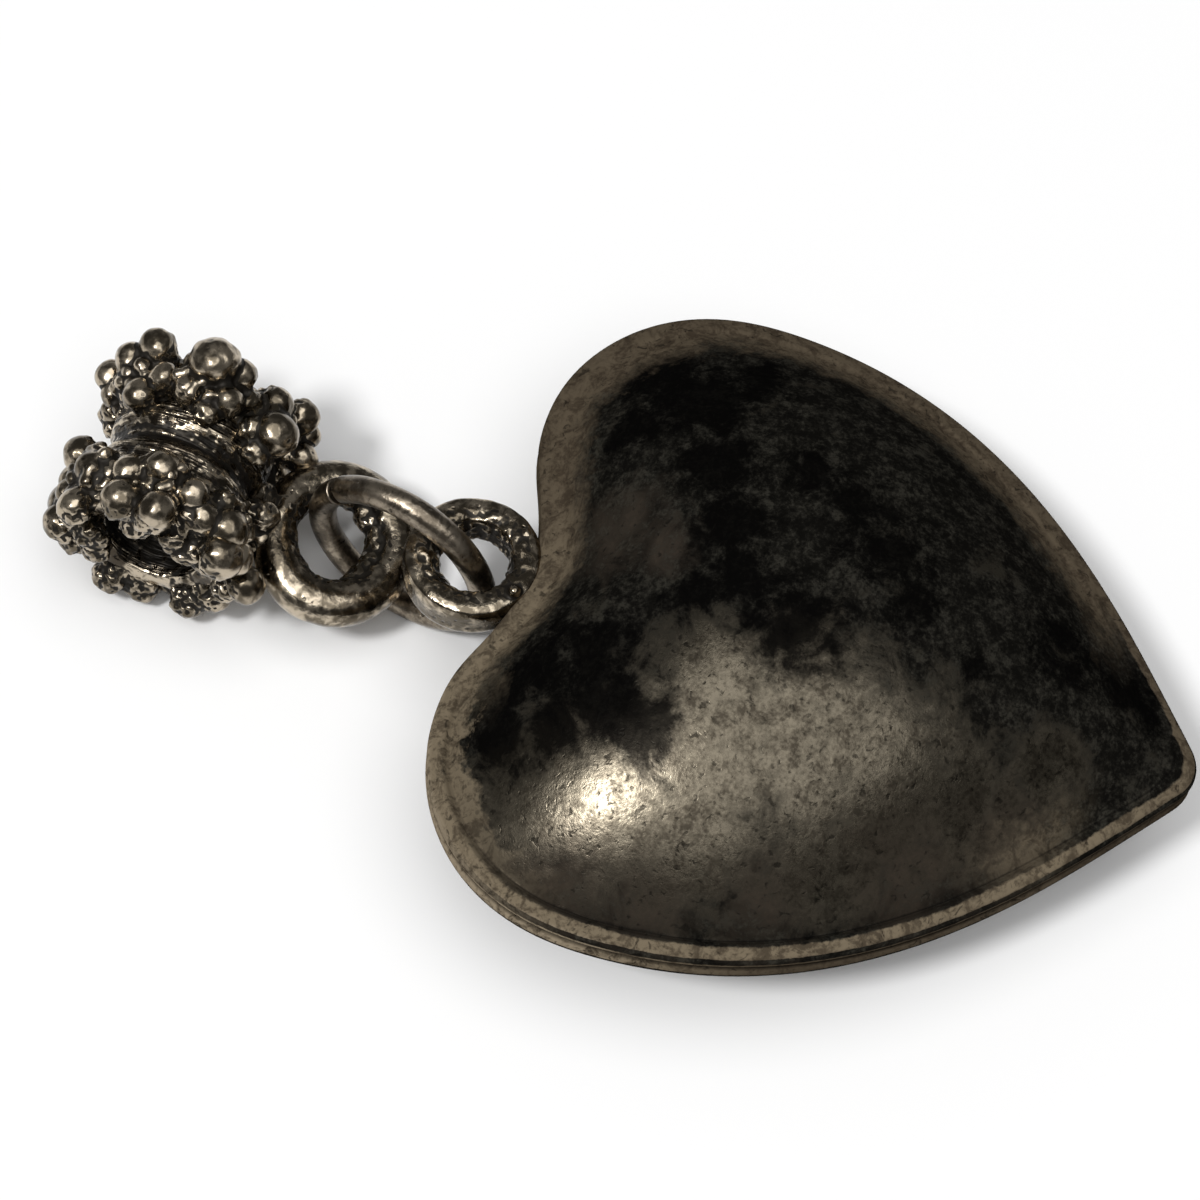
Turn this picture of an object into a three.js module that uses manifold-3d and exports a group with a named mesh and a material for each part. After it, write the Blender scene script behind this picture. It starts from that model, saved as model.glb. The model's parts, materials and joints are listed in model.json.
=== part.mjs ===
// Puffed heart charm, hung by an open jump ring from a granulated sleeve bail.
// Millimetres, +Z up. X runs across the heart and Y from its tip to the bail.
// The charm lies on its back: Z = 0 is the surface, and the origin is the middle of its footprint.
import * as THREE from 'three';
import { mergeVertices } from 'three/addons/utils/BufferGeometryUtils.js';
import Module from 'manifold-3d';

const wasm = await Module();
wasm.setup();

// Heart outline, in the seam plane of the two halves
const LOBE_PEAK_X = 5.37;
const LOBE_PEAK_Y = 9.27;
const WIDEST_X = 10.5;
const WIDEST_Y = 3.63;
const CLEFT_Y = 7.93;
const TIP_Y = -11.55;
const TIP_HALF_ANGLE = 50.8;
const TIP_RADIUS = 1.24;
const HUB_Y = 0.6;

// Fullness of the outline's curves: each handle as a share of the span that its curve covers
const CLEFT_HANDLE_ACROSS = 0.9;
const CLEFT_HANDLE_UP = 0.8;
const PEAK_HANDLE_INWARD = 0.51;
const PEAK_HANDLE_OUTWARD = 0.335;
const FLANK_HANDLE_UP = 0.73;
const FLANK_HANDLE_DOWN = 0.53;
const TIP_HANDLE_ACROSS = 0.31;

// Heart halves: a flat flange round a pillow-shaped dome
const RIM_THICKNESS = 1.24;
const FLANGE_WIDTH = 0.6;
const FLANGE_LEAN_LIMIT = 1.25;
const RIM_BREAK = 0.14;
const DOME_RISE = 3.7;
const DOME_FLATNESS = 2.5;
const DOME_SOFTNESS = 1.05;
const SHELL_WALL = 0.5;
const SOLDER_GAP = 0.05;
const CREST_SMOOTHING = 95;

// Cast loop in the cleft
const HEART_LOOP_HOLE_RADIUS = 1.12;
const HEART_LOOP_BAND = 0.88;
const HEART_LOOP_EDGE_BREAK = 0.2;
const HEART_LOOP_SINK = 0.16;
const HEART_LOOP_SIDE_SHIFT = -0.15;
const HEART_LOOP_SHOULDER_WIDTH = 2.6;
const HEART_LOOP_SHOULDER_LENGTH = 1.05;

// Jump ring bent from round wire
const JUMP_RING_INNER_RADIUS = 2.3;
const JUMP_RING_WIRE = 0.82;
const JUMP_RING_SLIT = 0.22;
const JUMP_RING_SLIT_ANGLE = 38;
const JUMP_RING_YAW = -12.8;
const JUMP_RING_SIDE_SHIFT = 0.15;
const JUMP_RING_DIP = 62;
const JUMP_RING_SLACK = 0.54;

// Bail sleeve: a thick tube with a groove between two bands
const SLEEVE_LENGTH = 5.2;
const SLEEVE_BORE_RADIUS = 1.5;
const SLEEVE_BAND_RADIUS = 2.35;
const SLEEVE_GROOVE_RADIUS = 2.22;
const SLEEVE_GROOVE_WIDTH = 0.9;
const SLEEVE_EDGE_BREAK = 0.15;
const BAIL_SIDE_SHIFT = 0.35;
const BAIL_ROLL = 13;
const BAIL_SLACK = 0.41;

// Cast loop on the sleeve
const BAIL_LOOP_HOLE_RADIUS = 1.15;
const BAIL_LOOP_SECTION = 1.28;
const BAIL_LOOP_OVAL_RATIO = 1.12;
const BAIL_LOOP_CENTRE = 4.9;
const BAIL_NECK_WIDTH = 1.5;

// Granule clusters: small balls round a larger one, in two rows on the sleeve
const CLUSTERS_PER_ROW = 6;
const CLUSTER_PITCH = 54;
const CLUSTER_ROW_OFFSET = 1.72;
const CLUSTER_TWIST = 17;
const CLUSTER_ROW_TWIST = 30;
const PETAL_COUNT = 6;
const PETAL_RADIUS = 0.45;
const PETAL_CIRCLE = 0.82;
const CROWN_RADIUS = 0.55;
const CROWN_LIFT = 0.1;

// Facets
const OUTLINE_SAMPLES = 600;
const OUTLINE_STEPS = 60;
const TIP_EXTRA_STEPS = 3;
const TIP_EXTRA_SPACING = 1.4;
const SLOPE_STEP = 1e-3;
const ANGLE_TOLERANCE = 1e-9;
const MERGE_TOLERANCE = 1e-5;
const DOME_STEPS = 9;
const DOME_STEP_CROWDING = 0.9;
const LINING_STEPS = 3;
const RING_STEPS = 32;
const SLEEVE_STEPS = 24;
const WIRE_SIDES = 10;
const BALL_SIDES = 7;
const BALL_RINGS = 5;

const toRadians = THREE.MathUtils.degToRad;

// Materials, read from the photograph
const pewter = new THREE.MeshStandardMaterial({ color: 0x8b857a, roughness: 0.42, metalness: 1 });
const darkPewter = new THREE.MeshStandardMaterial({ color: 0x5d5a54, roughness: 0.36, metalness: 1 });
const brightPewter = new THREE.MeshStandardMaterial({ color: 0x9d968a, roughness: 0.3, metalness: 1 });
const ringWire = new THREE.MeshStandardMaterial({ color: 0xa09788, roughness: 0.34, metalness: 1 });

// Solids for cutting and joining

function toSolid(geometry) {
  const bare = new THREE.BufferGeometry();
  bare.setAttribute('position', geometry.getAttribute('position').clone());
  if (geometry.index) {
    bare.setIndex(geometry.index.clone());
  }
  const merged = mergeVertices(bare, MERGE_TOLERANCE);
  return new wasm.Manifold(new wasm.Mesh({
    numProp: 3,
    vertProperties: new Float32Array(merged.getAttribute('position').array),
    triVerts: new Uint32Array(merged.index.array),
  }));
}

function toGeometry(solid) {
  const mesh = solid.getMesh();
  const geometry = new THREE.BufferGeometry();
  geometry.setAttribute('position', new THREE.BufferAttribute(new Float32Array(mesh.vertProperties), 3));
  geometry.setIndex(new THREE.BufferAttribute(new Uint32Array(mesh.triVerts), 1));
  geometry.computeVertexNormals();
  return geometry;
}

function makeMesh(name, geometry, material) {
  const mesh = new THREE.Mesh(geometry, material);
  mesh.name = name;
  return mesh;
}

// Heart outline as a radius at each angle round the hub

function halfOutline() {
  // From the cleft over the lobe and down the flank to the rounded tip
  const halfAngle = toRadians(TIP_HALF_ANGLE);
  const lobePeak = new THREE.Vector2(LOBE_PEAK_X, LOBE_PEAK_Y);
  const widest = new THREE.Vector2(WIDEST_X, WIDEST_Y);
  const cleftRise = LOBE_PEAK_Y - CLEFT_Y;
  const shoulderSpan = WIDEST_X - LOBE_PEAK_X;
  const shoulderDrop = LOBE_PEAK_Y - WIDEST_Y;
  const flankDrop = WIDEST_Y - TIP_Y;
  const tipCentreY = TIP_Y + TIP_RADIUS;
  const tipStart = new THREE.Vector2(
    TIP_RADIUS * Math.cos(halfAngle),
    tipCentreY - TIP_RADIUS * Math.sin(halfAngle),
  );
  const tipHandle = TIP_HANDLE_ACROSS * WIDEST_X;
  const path = new THREE.CurvePath();
  path.add(new THREE.CubicBezierCurve(
    new THREE.Vector2(0, CLEFT_Y),
    new THREE.Vector2(CLEFT_HANDLE_ACROSS * LOBE_PEAK_X, CLEFT_Y + CLEFT_HANDLE_UP * cleftRise),
    new THREE.Vector2((1 - PEAK_HANDLE_INWARD) * LOBE_PEAK_X, LOBE_PEAK_Y),
    lobePeak,
  ));
  path.add(new THREE.CubicBezierCurve(
    lobePeak,
    new THREE.Vector2(LOBE_PEAK_X + PEAK_HANDLE_OUTWARD * shoulderSpan, LOBE_PEAK_Y),
    new THREE.Vector2(WIDEST_X, WIDEST_Y + FLANK_HANDLE_UP * shoulderDrop),
    widest,
  ));
  path.add(new THREE.CubicBezierCurve(
    widest,
    new THREE.Vector2(WIDEST_X, WIDEST_Y - FLANK_HANDLE_DOWN * flankDrop),
    new THREE.Vector2(tipStart.x + tipHandle, tipStart.y + tipHandle / Math.tan(halfAngle)),
    tipStart,
  ));
  path.add(new THREE.EllipseCurve(
    0,
    tipCentreY,
    TIP_RADIUS,
    TIP_RADIUS,
    -halfAngle,
    -Math.PI / 2,
    true,
  ));
  return path;
}

const outlinePoints = halfOutline().getSpacedPoints(OUTLINE_SAMPLES);

function outlineRadius(angle) {
  // Angles run from the cleft (90 degrees) to the tip (-90 degrees); the left half mirrors the right
  const folded = Math.atan2(Math.sin(angle), Math.abs(Math.cos(angle)));
  for (let i = 1; i < outlinePoints.length; i += 1) {
    const before = outlinePoints[i - 1];
    const after = outlinePoints[i];
    const beforeAngle = Math.atan2(before.y - HUB_Y, before.x);
    const afterAngle = Math.atan2(after.y - HUB_Y, after.x);
    if (folded <= beforeAngle + ANGLE_TOLERANCE && folded >= afterAngle - ANGLE_TOLERANCE) {
      const span = beforeAngle - afterAngle;
      const share = span > 0 ? (beforeAngle - folded) / span : 0;
      const beforeRadius = Math.hypot(before.x, before.y - HUB_Y);
      const afterRadius = Math.hypot(after.x, after.y - HUB_Y);
      return THREE.MathUtils.lerp(beforeRadius, afterRadius, share);
    }
  }
  return HUB_Y - TIP_Y;
}

function outlineAngles() {
  // Even steps all round, with extra ones beside the tip for its small radius
  const angles = [];
  for (let i = 0; i < OUTLINE_STEPS; i += 1) {
    angles.push(90 - (360 * i) / OUTLINE_STEPS);
  }
  for (let i = 1; i <= TIP_EXTRA_STEPS; i += 1) {
    angles.push(-90 - i * TIP_EXTRA_SPACING, -90 + i * TIP_EXTRA_SPACING);
  }
  return angles.sort((first, second) => second - first).map(toRadians);
}

const ANGLES = outlineAngles();
const RADII = ANGLES.map(outlineRadius);

function insetRadii(inset) {
  // Moves the outline in along its own normal, so that the flange keeps one width
  return ANGLES.map((angle, i) => {
    const rise = outlineRadius(angle + SLOPE_STEP) - outlineRadius(angle - SLOPE_STEP);
    const slope = rise / (2 * SLOPE_STEP);
    const lean = Math.min(FLANGE_LEAN_LIMIT, Math.hypot(1, slope / RADII[i]));
    return RADII[i] - inset * lean;
  });
}

// Lofts through rings of equal point count

function ringAt(radii, z) {
  return ANGLES.map((angle, i) => new THREE.Vector3(
    radii[i] * Math.cos(angle),
    HUB_Y + radii[i] * Math.sin(angle),
    z,
  ));
}

function loftGeometry(rings, startPole, endPole) {
  const count = rings[0].length;
  const positions = [startPole, ...rings.flat(), endPole].flatMap((point) => [point.x, point.y, point.z]);
  const last = 1 + rings.length * count;
  const faces = [];
  for (let i = 0; i < count; i += 1) {
    const next = (i + 1) % count;
    faces.push(0, 1 + next, 1 + i);
    for (let r = 0; r + 1 < rings.length; r += 1) {
      const here = 1 + r * count;
      const below = here + count;
      faces.push(here + i, here + next, below + i);
      faces.push(here + next, below + next, below + i);
    }
    const bottom = 1 + (rings.length - 1) * count;
    faces.push(last, bottom + i, bottom + next);
  }
  const geometry = new THREE.BufferGeometry();
  geometry.setAttribute('position', new THREE.Float32BufferAttribute(positions, 3));
  geometry.setIndex(faces);
  geometry.computeVertexNormals();
  return geometry;
}

// Heart halves

function angularGap(first, second) {
  const turn = Math.abs(ANGLES[first] - ANGLES[second]) % (2 * Math.PI);
  return Math.min(turn, 2 * Math.PI - turn);
}

function angularSpacing(i) {
  // The share of the circle that a point of the outline stands for
  const count = ANGLES.length;
  return (angularGap(i, (i + 1) % count) + angularGap(i, (i + count - 1) % count)) / 2;
}

function smoothedRadii(radii, reach) {
  // A cosine-weighted mean over the neighbours within the reach, in degrees
  const window = toRadians(reach) + (2 * Math.PI) / OUTLINE_STEPS;
  return radii.map((_, i) => {
    let total = 0;
    let weights = 0;
    for (let other = 0; other < radii.length; other += 1) {
      const gap = angularGap(i, other);
      if (gap < window) {
        const weight = angularSpacing(other) * (1 + Math.cos((Math.PI * gap) / window));
        total += weight * radii[other];
        weights += weight;
      }
    }
    return total / weights;
  });
}

function crestRadii(footRadii, share) {
  // Towards the crown the heart shape melts into a round one, which leaves the valley below the cleft
  return smoothedRadii(footRadii, CREST_SMOOTHING * (1 - share)).map((radius) => share * radius);
}

function domeHeight(share) {
  // A pillow: flat on top, steeper down the side, and easing into the flange at its foot
  return DOME_RISE * (1 - share ** DOME_FLATNESS) ** DOME_SOFTNESS;
}

function domeRings(footRadii, baseZ, steps, towardsFoot) {
  const rings = [];
  for (let i = 1; i <= steps; i += 1) {
    const share = Math.sin((Math.PI / 2) * (i / steps)) ** DOME_STEP_CROWDING;
    rings.push(ringAt(crestRadii(footRadii, share), baseZ + domeHeight(share)));
  }
  return towardsFoot ? rings : rings.reverse();
}

function heartHalf() {
  const flangeTop = RIM_THICKNESS / 2;
  const seam = SOLDER_GAP / 2;
  const foot = insetRadii(FLANGE_WIDTH);
  const mouth = insetRadii(FLANGE_WIDTH + SHELL_WALL);
  const liningZ = flangeTop - SHELL_WALL;
  const rings = [
    ...domeRings(foot, flangeTop, DOME_STEPS, true),
    ringAt(insetRadii(RIM_BREAK), flangeTop),
    ringAt(RADII, flangeTop - RIM_BREAK),
    ringAt(RADII, seam + RIM_BREAK),
    ringAt(insetRadii(RIM_BREAK), seam),
    ringAt(mouth, seam),
    ...domeRings(mouth, liningZ, LINING_STEPS, false),
  ];
  const crown = new THREE.Vector3(0, HUB_Y, flangeTop + DOME_RISE);
  const ceiling = new THREE.Vector3(0, HUB_Y, liningZ + DOME_RISE);
  return loftGeometry(rings, crown, ceiling);
}

function mirrorHalf(geometry) {
  const mirrored = geometry.clone();
  mirrored.scale(1, 1, -1);
  const index = mirrored.index;
  for (let i = 0; i < index.count; i += 3) {
    const second = index.getX(i + 1);
    index.setX(i + 1, index.getX(i + 2));
    index.setX(i + 2, second);
  }
  mirrored.computeVertexNormals();
  return mirrored;
}

function heartPrism(clearance, height) {
  // The heart's outline with a clearance round it, for cutting what butts against the rim
  const grown = insetRadii(-clearance);
  const outline = ANGLES.map((angle, i) => new THREE.Vector2(
    grown[i] * Math.cos(angle),
    HUB_Y + grown[i] * Math.sin(angle),
  ));
  const prism = new THREE.ExtrudeGeometry(new THREE.Shape(outline), { depth: height, bevelEnabled: false });
  prism.translate(0, 0, -height / 2);
  return prism;
}

// Loops and rings

function bandRing(holeRadius, band, thickness, edge) {
  // A ring of rectangular section with broken edges, turned about Z
  const inner = holeRadius;
  const outer = holeRadius + band;
  const half = thickness / 2;
  const profile = [
    new THREE.Vector2(inner, -half + edge),
    new THREE.Vector2(inner + edge, -half),
    new THREE.Vector2(outer - edge, -half),
    new THREE.Vector2(outer, -half + edge),
    new THREE.Vector2(outer, half - edge),
    new THREE.Vector2(outer - edge, half),
    new THREE.Vector2(inner + edge, half),
    new THREE.Vector2(inner, half - edge),
    new THREE.Vector2(inner, -half + edge),
  ];
  const ring = new THREE.LatheGeometry(profile, RING_STEPS);
  ring.rotateX(Math.PI / 2);
  return ring;
}

class ArcCurve extends THREE.Curve {
  constructor(radius, startAngle, endAngle) {
    super();
    this.radius = radius;
    this.startAngle = startAngle;
    this.endAngle = endAngle;
  }

  getPoint(t, target = new THREE.Vector3()) {
    const angle = THREE.MathUtils.lerp(this.startAngle, this.endAngle, t);
    return target.set(0, this.radius * Math.cos(angle), this.radius * Math.sin(angle));
  }
}

const heartLoopCentreY = CLEFT_Y - HEART_LOOP_SINK + HEART_LOOP_HOLE_RADIUS + HEART_LOOP_BAND;
const heartLoopFarY = heartLoopCentreY + HEART_LOOP_HOLE_RADIUS + HEART_LOOP_BAND / 2;

function heartLoop() {
  const ring = toSolid(bandRing(
    HEART_LOOP_HOLE_RADIUS,
    HEART_LOOP_BAND,
    RIM_THICKNESS,
    HEART_LOOP_EDGE_BREAK,
  ).translate(HEART_LOOP_SIDE_SHIFT, heartLoopCentreY, 0));
  const hole = toSolid(new THREE.CylinderGeometry(
    HEART_LOOP_HOLE_RADIUS,
    HEART_LOOP_HOLE_RADIUS,
    2 * RIM_THICKNESS,
    RING_STEPS,
  ).rotateX(Math.PI / 2).translate(HEART_LOOP_SIDE_SHIFT, heartLoopCentreY, 0));
  const shoulder = toSolid(new THREE.BoxGeometry(
    HEART_LOOP_SHOULDER_WIDTH,
    HEART_LOOP_SHOULDER_LENGTH,
    RIM_THICKNESS - 2 * HEART_LOOP_EDGE_BREAK,
  ).translate(HEART_LOOP_SIDE_SHIFT, CLEFT_Y + HEART_LOOP_SHOULDER_LENGTH / 2, 0));
  const heart = toSolid(heartPrism(SOLDER_GAP, 4 * RIM_THICKNESS));
  return toGeometry(ring.add(shoulder).subtract(hole).subtract(heart));
}

const wireRadius = JUMP_RING_WIRE / 2;
const ringRadius = JUMP_RING_INNER_RADIUS + wireRadius;

function jumpRing() {
  const halfSlit = JUMP_RING_SLIT / (2 * ringRadius);
  const slit = toRadians(JUMP_RING_SLIT_ANGLE);
  const section = new THREE.Shape();
  section.absarc(0, 0, wireRadius, 0, 2 * Math.PI);
  return new THREE.ExtrudeGeometry(section, {
    extrudePath: new ArcCurve(ringRadius, slit + halfSlit, slit + 2 * Math.PI - halfSlit),
    steps: RING_STEPS,
    curveSegments: WIRE_SIDES / 2,
    bevelEnabled: false,
  });
}

// Bail

function sleeveProfile() {
  const half = SLEEVE_LENGTH / 2;
  const groove = SLEEVE_GROOVE_WIDTH / 2;
  const edge = Math.min(SLEEVE_EDGE_BREAK, (SLEEVE_BAND_RADIUS - SLEEVE_BORE_RADIUS) / 2);
  return [
    new THREE.Vector2(SLEEVE_BORE_RADIUS, -half + edge),
    new THREE.Vector2(SLEEVE_BORE_RADIUS + edge, -half),
    new THREE.Vector2(SLEEVE_BAND_RADIUS - edge, -half),
    new THREE.Vector2(SLEEVE_BAND_RADIUS, -half + edge),
    new THREE.Vector2(SLEEVE_BAND_RADIUS, -groove),
    new THREE.Vector2(SLEEVE_GROOVE_RADIUS, 0),
    new THREE.Vector2(SLEEVE_BAND_RADIUS, groove),
    new THREE.Vector2(SLEEVE_BAND_RADIUS, half - edge),
    new THREE.Vector2(SLEEVE_BAND_RADIUS - edge, half),
    new THREE.Vector2(SLEEVE_BORE_RADIUS + edge, half),
    new THREE.Vector2(SLEEVE_BORE_RADIUS, half - edge),
    new THREE.Vector2(SLEEVE_BORE_RADIUS, -half + edge),
  ];
}

function turnedAboutX(profile) {
  // Turned by half a facet, so that the sleeve's seam lies in the middle of its facets
  const geometry = new THREE.LatheGeometry(profile, SLEEVE_STEPS, Math.PI / SLEEVE_STEPS);
  geometry.rotateZ(-Math.PI / 2);
  return toSolid(geometry);
}

function sleeveHalf(side) {
  // One half of the tube, above or below the seam that runs through the loop's foot
  const height = 2 * SLEEVE_BAND_RADIUS;
  const space = toSolid(new THREE.BoxGeometry(
    2 * SLEEVE_LENGTH,
    2 * height,
    height,
  ).translate(0, 0, (side * (height + SOLDER_GAP)) / 2));
  return toGeometry(turnedAboutX(sleeveProfile()).intersect(space));
}

function bailEnvelope(clearance) {
  // The sleeve with its bore filled and a clearance all round, for cutting what is soldered to it
  const half = SLEEVE_LENGTH / 2 + clearance;
  const band = SLEEVE_BAND_RADIUS + clearance;
  const groove = SLEEVE_GROOVE_WIDTH / 2;
  const profile = [
    new THREE.Vector2(0, -half),
    new THREE.Vector2(band, -half),
    new THREE.Vector2(band, -groove),
    new THREE.Vector2(SLEEVE_GROOVE_RADIUS + clearance, 0),
    new THREE.Vector2(band, groove),
    new THREE.Vector2(band, half),
    new THREE.Vector2(0, half),
  ];
  return turnedAboutX(profile);
}

const bailLoopRadius = BAIL_LOOP_HOLE_RADIUS + BAIL_LOOP_SECTION / 2;

function bailLoopRing(clearance) {
  // The ring of the loop, a little wider than it is long
  const geometry = new THREE.TorusGeometry(
    bailLoopRadius,
    BAIL_LOOP_SECTION / 2 + clearance,
    WIRE_SIDES,
    RING_STEPS,
  );
  return toSolid(geometry.scale(BAIL_LOOP_OVAL_RATIO, 1, 1).translate(0, -BAIL_LOOP_CENTRE, 0));
}

function bailLoop(envelope) {
  const neckEnd = BAIL_LOOP_CENTRE - bailLoopRadius;
  const neck = toSolid(new THREE.CylinderGeometry(
    BAIL_NECK_WIDTH / 2,
    BAIL_NECK_WIDTH / 2,
    neckEnd,
    WIRE_SIDES,
  ).scale(1, 1, BAIL_LOOP_SECTION / BAIL_NECK_WIDTH).translate(0, -neckEnd / 2, 0));
  return toGeometry(bailLoopRing(0).add(neck).subtract(envelope));
}

function ball(radius) {
  return new THREE.SphereGeometry(radius, BALL_SIDES, BALL_RINGS);
}

function granuleCluster(rowX, angle, twist, loopClearance) {
  // Built standing on the sleeve at its top, then turned round the sleeve's axis
  const seat = SLEEVE_BAND_RADIUS + SOLDER_GAP;
  let cluster = toSolid(ball(CROWN_RADIUS).translate(0, 0, seat + CROWN_RADIUS + CROWN_LIFT));
  for (let i = 0; i < PETAL_COUNT; i += 1) {
    const turn = toRadians(twist) + (2 * Math.PI * i) / PETAL_COUNT;
    const along = PETAL_CIRCLE * Math.cos(turn);
    const across = PETAL_CIRCLE * Math.sin(turn);
    const lift = Math.sqrt((seat + PETAL_RADIUS) ** 2 - across ** 2);
    cluster = cluster.add(toSolid(ball(PETAL_RADIUS).translate(along, across, lift)));
  }
  return toGeometry(cluster.rotate([angle, 0, 0]).translate([rowX, 0, 0]).subtract(loopClearance));
}

function clusterAngles() {
  // The clusters leave the widest space round the loop, which points along -Y
  const angles = [];
  for (let i = 0; i < CLUSTERS_PER_ROW; i += 1) {
    angles.push(-90 + (i - (CLUSTERS_PER_ROW - 1) / 2) * CLUSTER_PITCH);
  }
  return angles;
}

// Assembly

const heart = new THREE.Group();
const frontHalf = heartHalf();
heart.add(makeMesh('heart_front_shell', frontHalf, darkPewter));
heart.add(makeMesh('heart_back_shell', mirrorHalf(frontHalf), darkPewter));
heart.add(makeMesh('heart_loop', heartLoop(), brightPewter));

// The slack ring hangs from the far side of the heart's loop and dips to the surface
const ringDip = toRadians(JUMP_RING_DIP);
const ringOffset = JUMP_RING_INNER_RADIUS - HEART_LOOP_BAND / 2 - JUMP_RING_SLACK;
const ring = new THREE.Group();
ring.add(makeMesh('jump_ring', jumpRing(), ringWire));
ring.rotation.z = toRadians(JUMP_RING_YAW);
ring.position.set(
  JUMP_RING_SIDE_SHIFT,
  heartLoopFarY + ringOffset * Math.cos(ringDip),
  -ringOffset * Math.sin(ringDip),
);

// The bail: the loop and the clusters are soldered to the sleeve
const bail = new THREE.Group();
const envelope = bailEnvelope(SOLDER_GAP);
bail.add(makeMesh('bail_sleeve', sleeveHalf(1), darkPewter));
bail.add(makeMesh('bail_sleeve_underside', sleeveHalf(-1), darkPewter));
bail.add(makeMesh('bail_loop', bailLoop(envelope), brightPewter));
const loopClearance = bailLoopRing(SOLDER_GAP);
for (const [row, rowX] of [CLUSTER_ROW_OFFSET, -CLUSTER_ROW_OFFSET].entries()) {
  for (const [i, angle] of clusterAngles().entries()) {
    const name = `granule_cluster_${row * CLUSTERS_PER_ROW + i + 1}`;
    const twist = row * CLUSTER_ROW_TWIST + i * CLUSTER_TWIST;
    bail.add(makeMesh(name, granuleCluster(rowX, angle, twist, loopClearance), pewter));
  }
}

// The bail lies on its lowest granules, level with the heart's back, and its loop holds the ring's wire
const bailRoll = toRadians(BAIL_ROLL);
bail.rotation.x = bailRoll;
const bailUnderside = new THREE.Box3().setFromObject(bail, true).min.z;
const bailHeight = -RIM_THICKNESS / 2 - DOME_RISE - bailUnderside;
const loopReach = ringRadius - BAIL_SLACK;
const loopDrop = ring.position.z + BAIL_LOOP_CENTRE * Math.sin(bailRoll) - bailHeight;
bail.position.set(
  BAIL_SIDE_SHIFT,
  ring.position.y + Math.sqrt(loopReach ** 2 - loopDrop ** 2) + BAIL_LOOP_CENTRE * Math.cos(bailRoll),
  bailHeight,
);

// The whole charm, lifted onto the surface and centred over its footprint
const charm = new THREE.Group();
charm.add(heart, ring, bail);
charm.updateMatrixWorld(true);
const extent = new THREE.Box3().setFromObject(charm, true);
const middle = extent.getCenter(new THREE.Vector3());
charm.position.set(-middle.x, -middle.y, -extent.min.z);

export default charm;
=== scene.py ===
"""Looks, light and camera for a puffed heart charm that hangs from a granulated sleeve bail.

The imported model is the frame. The heart's halves are refined from their own solids. The cast
pieces, the jump ring and the granule clusters are modelled here over the solids they stand for.
Sizes are in millimetres until a mesh is published, and in metres after that.
"""

import json
import logging
import math
from collections.abc import Callable, Iterable, Sequence
from dataclasses import dataclass
from enum import Enum
from functools import cached_property

import bmesh
import bpy
from mathutils import Matrix, Vector, noise
from mathutils.bvhtree import BVHTree
from mathutils.kdtree import KDTree

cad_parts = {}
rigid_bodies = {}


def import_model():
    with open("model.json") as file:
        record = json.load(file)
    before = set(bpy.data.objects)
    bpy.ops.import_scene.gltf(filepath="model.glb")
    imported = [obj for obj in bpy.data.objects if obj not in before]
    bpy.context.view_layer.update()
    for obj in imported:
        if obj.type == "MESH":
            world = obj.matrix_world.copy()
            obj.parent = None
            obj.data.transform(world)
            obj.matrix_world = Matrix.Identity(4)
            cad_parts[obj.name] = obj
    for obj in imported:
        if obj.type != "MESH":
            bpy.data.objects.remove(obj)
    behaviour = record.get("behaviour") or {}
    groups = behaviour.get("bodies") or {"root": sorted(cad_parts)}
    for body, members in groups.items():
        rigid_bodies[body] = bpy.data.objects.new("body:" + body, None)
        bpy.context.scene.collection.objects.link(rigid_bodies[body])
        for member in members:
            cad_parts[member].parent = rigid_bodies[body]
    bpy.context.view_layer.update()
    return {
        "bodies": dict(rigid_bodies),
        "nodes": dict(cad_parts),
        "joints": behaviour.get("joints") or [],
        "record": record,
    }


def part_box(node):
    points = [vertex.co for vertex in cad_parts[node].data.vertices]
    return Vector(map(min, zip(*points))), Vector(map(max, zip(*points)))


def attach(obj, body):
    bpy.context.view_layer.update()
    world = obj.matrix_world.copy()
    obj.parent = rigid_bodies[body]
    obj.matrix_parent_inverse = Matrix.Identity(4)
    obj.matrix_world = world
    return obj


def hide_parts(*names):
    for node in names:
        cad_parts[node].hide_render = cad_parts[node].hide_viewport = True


LOG = logging.getLogger("heart_charm")
MM = 0.001
PHOTO_SIZE = 1200
SENSOR_WIDTH = 36.0
NOISE_SEED = 11
MERGE_DISTANCE = 0.0005
LEVEL_TOLERANCE = 0.01
SEAM_HEIGHT = 4.32
TURNED_STEPS = 96
HOLLOW_SPREADS = 4
HOLLOW_ATTRIBUTE = "hollow"
RIM_ATTRIBUTE = "rim"

Pair = tuple[float, float]
Triple = tuple[float, float, float]
Mesh = bmesh.types.BMesh
Vert = bmesh.types.BMVert
Material = bpy.types.Material
Socket = bpy.types.NodeSocket
Share = Callable[[Vert], float]
Settings = dict[str, object] | None
Inputs = dict[int | str, object] | None
Patches = Sequence[tuple[Vector, float]]


class Body(Enum):
    """The rigid bodies that the charm's joints link."""

    HEART = "heart"
    JUMP_RING = "jump_ring"
    BAIL = "bail"


class Slot(Enum):
    """The record's material slots."""

    PATINA = "patina_silver"
    CAST = "cast_silver"
    GRANULE = "granule_silver"
    WIRE = "wire_silver"


def held(value: float, low: float = 0.0, high: float = 1.0) -> float:
    """Holds a value between two others."""
    return min(max(value, low), high)


def spread_out(count: int) -> list[float]:
    """Gives even steps from -1 to 1."""
    half = (count - 1) / 2
    return [(i - half) / half for i in range(count)]


def turned_by(degrees: float, axis: str) -> Matrix:
    """Gives a turn about one axis."""
    return Matrix.Rotation(math.radians(degrees), 4, axis)


def wander_at(*place: float) -> Vector:
    """Gives the shift that the noise has at a place, the same on every run."""
    return noise.noise_vector(Vector(place))


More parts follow.
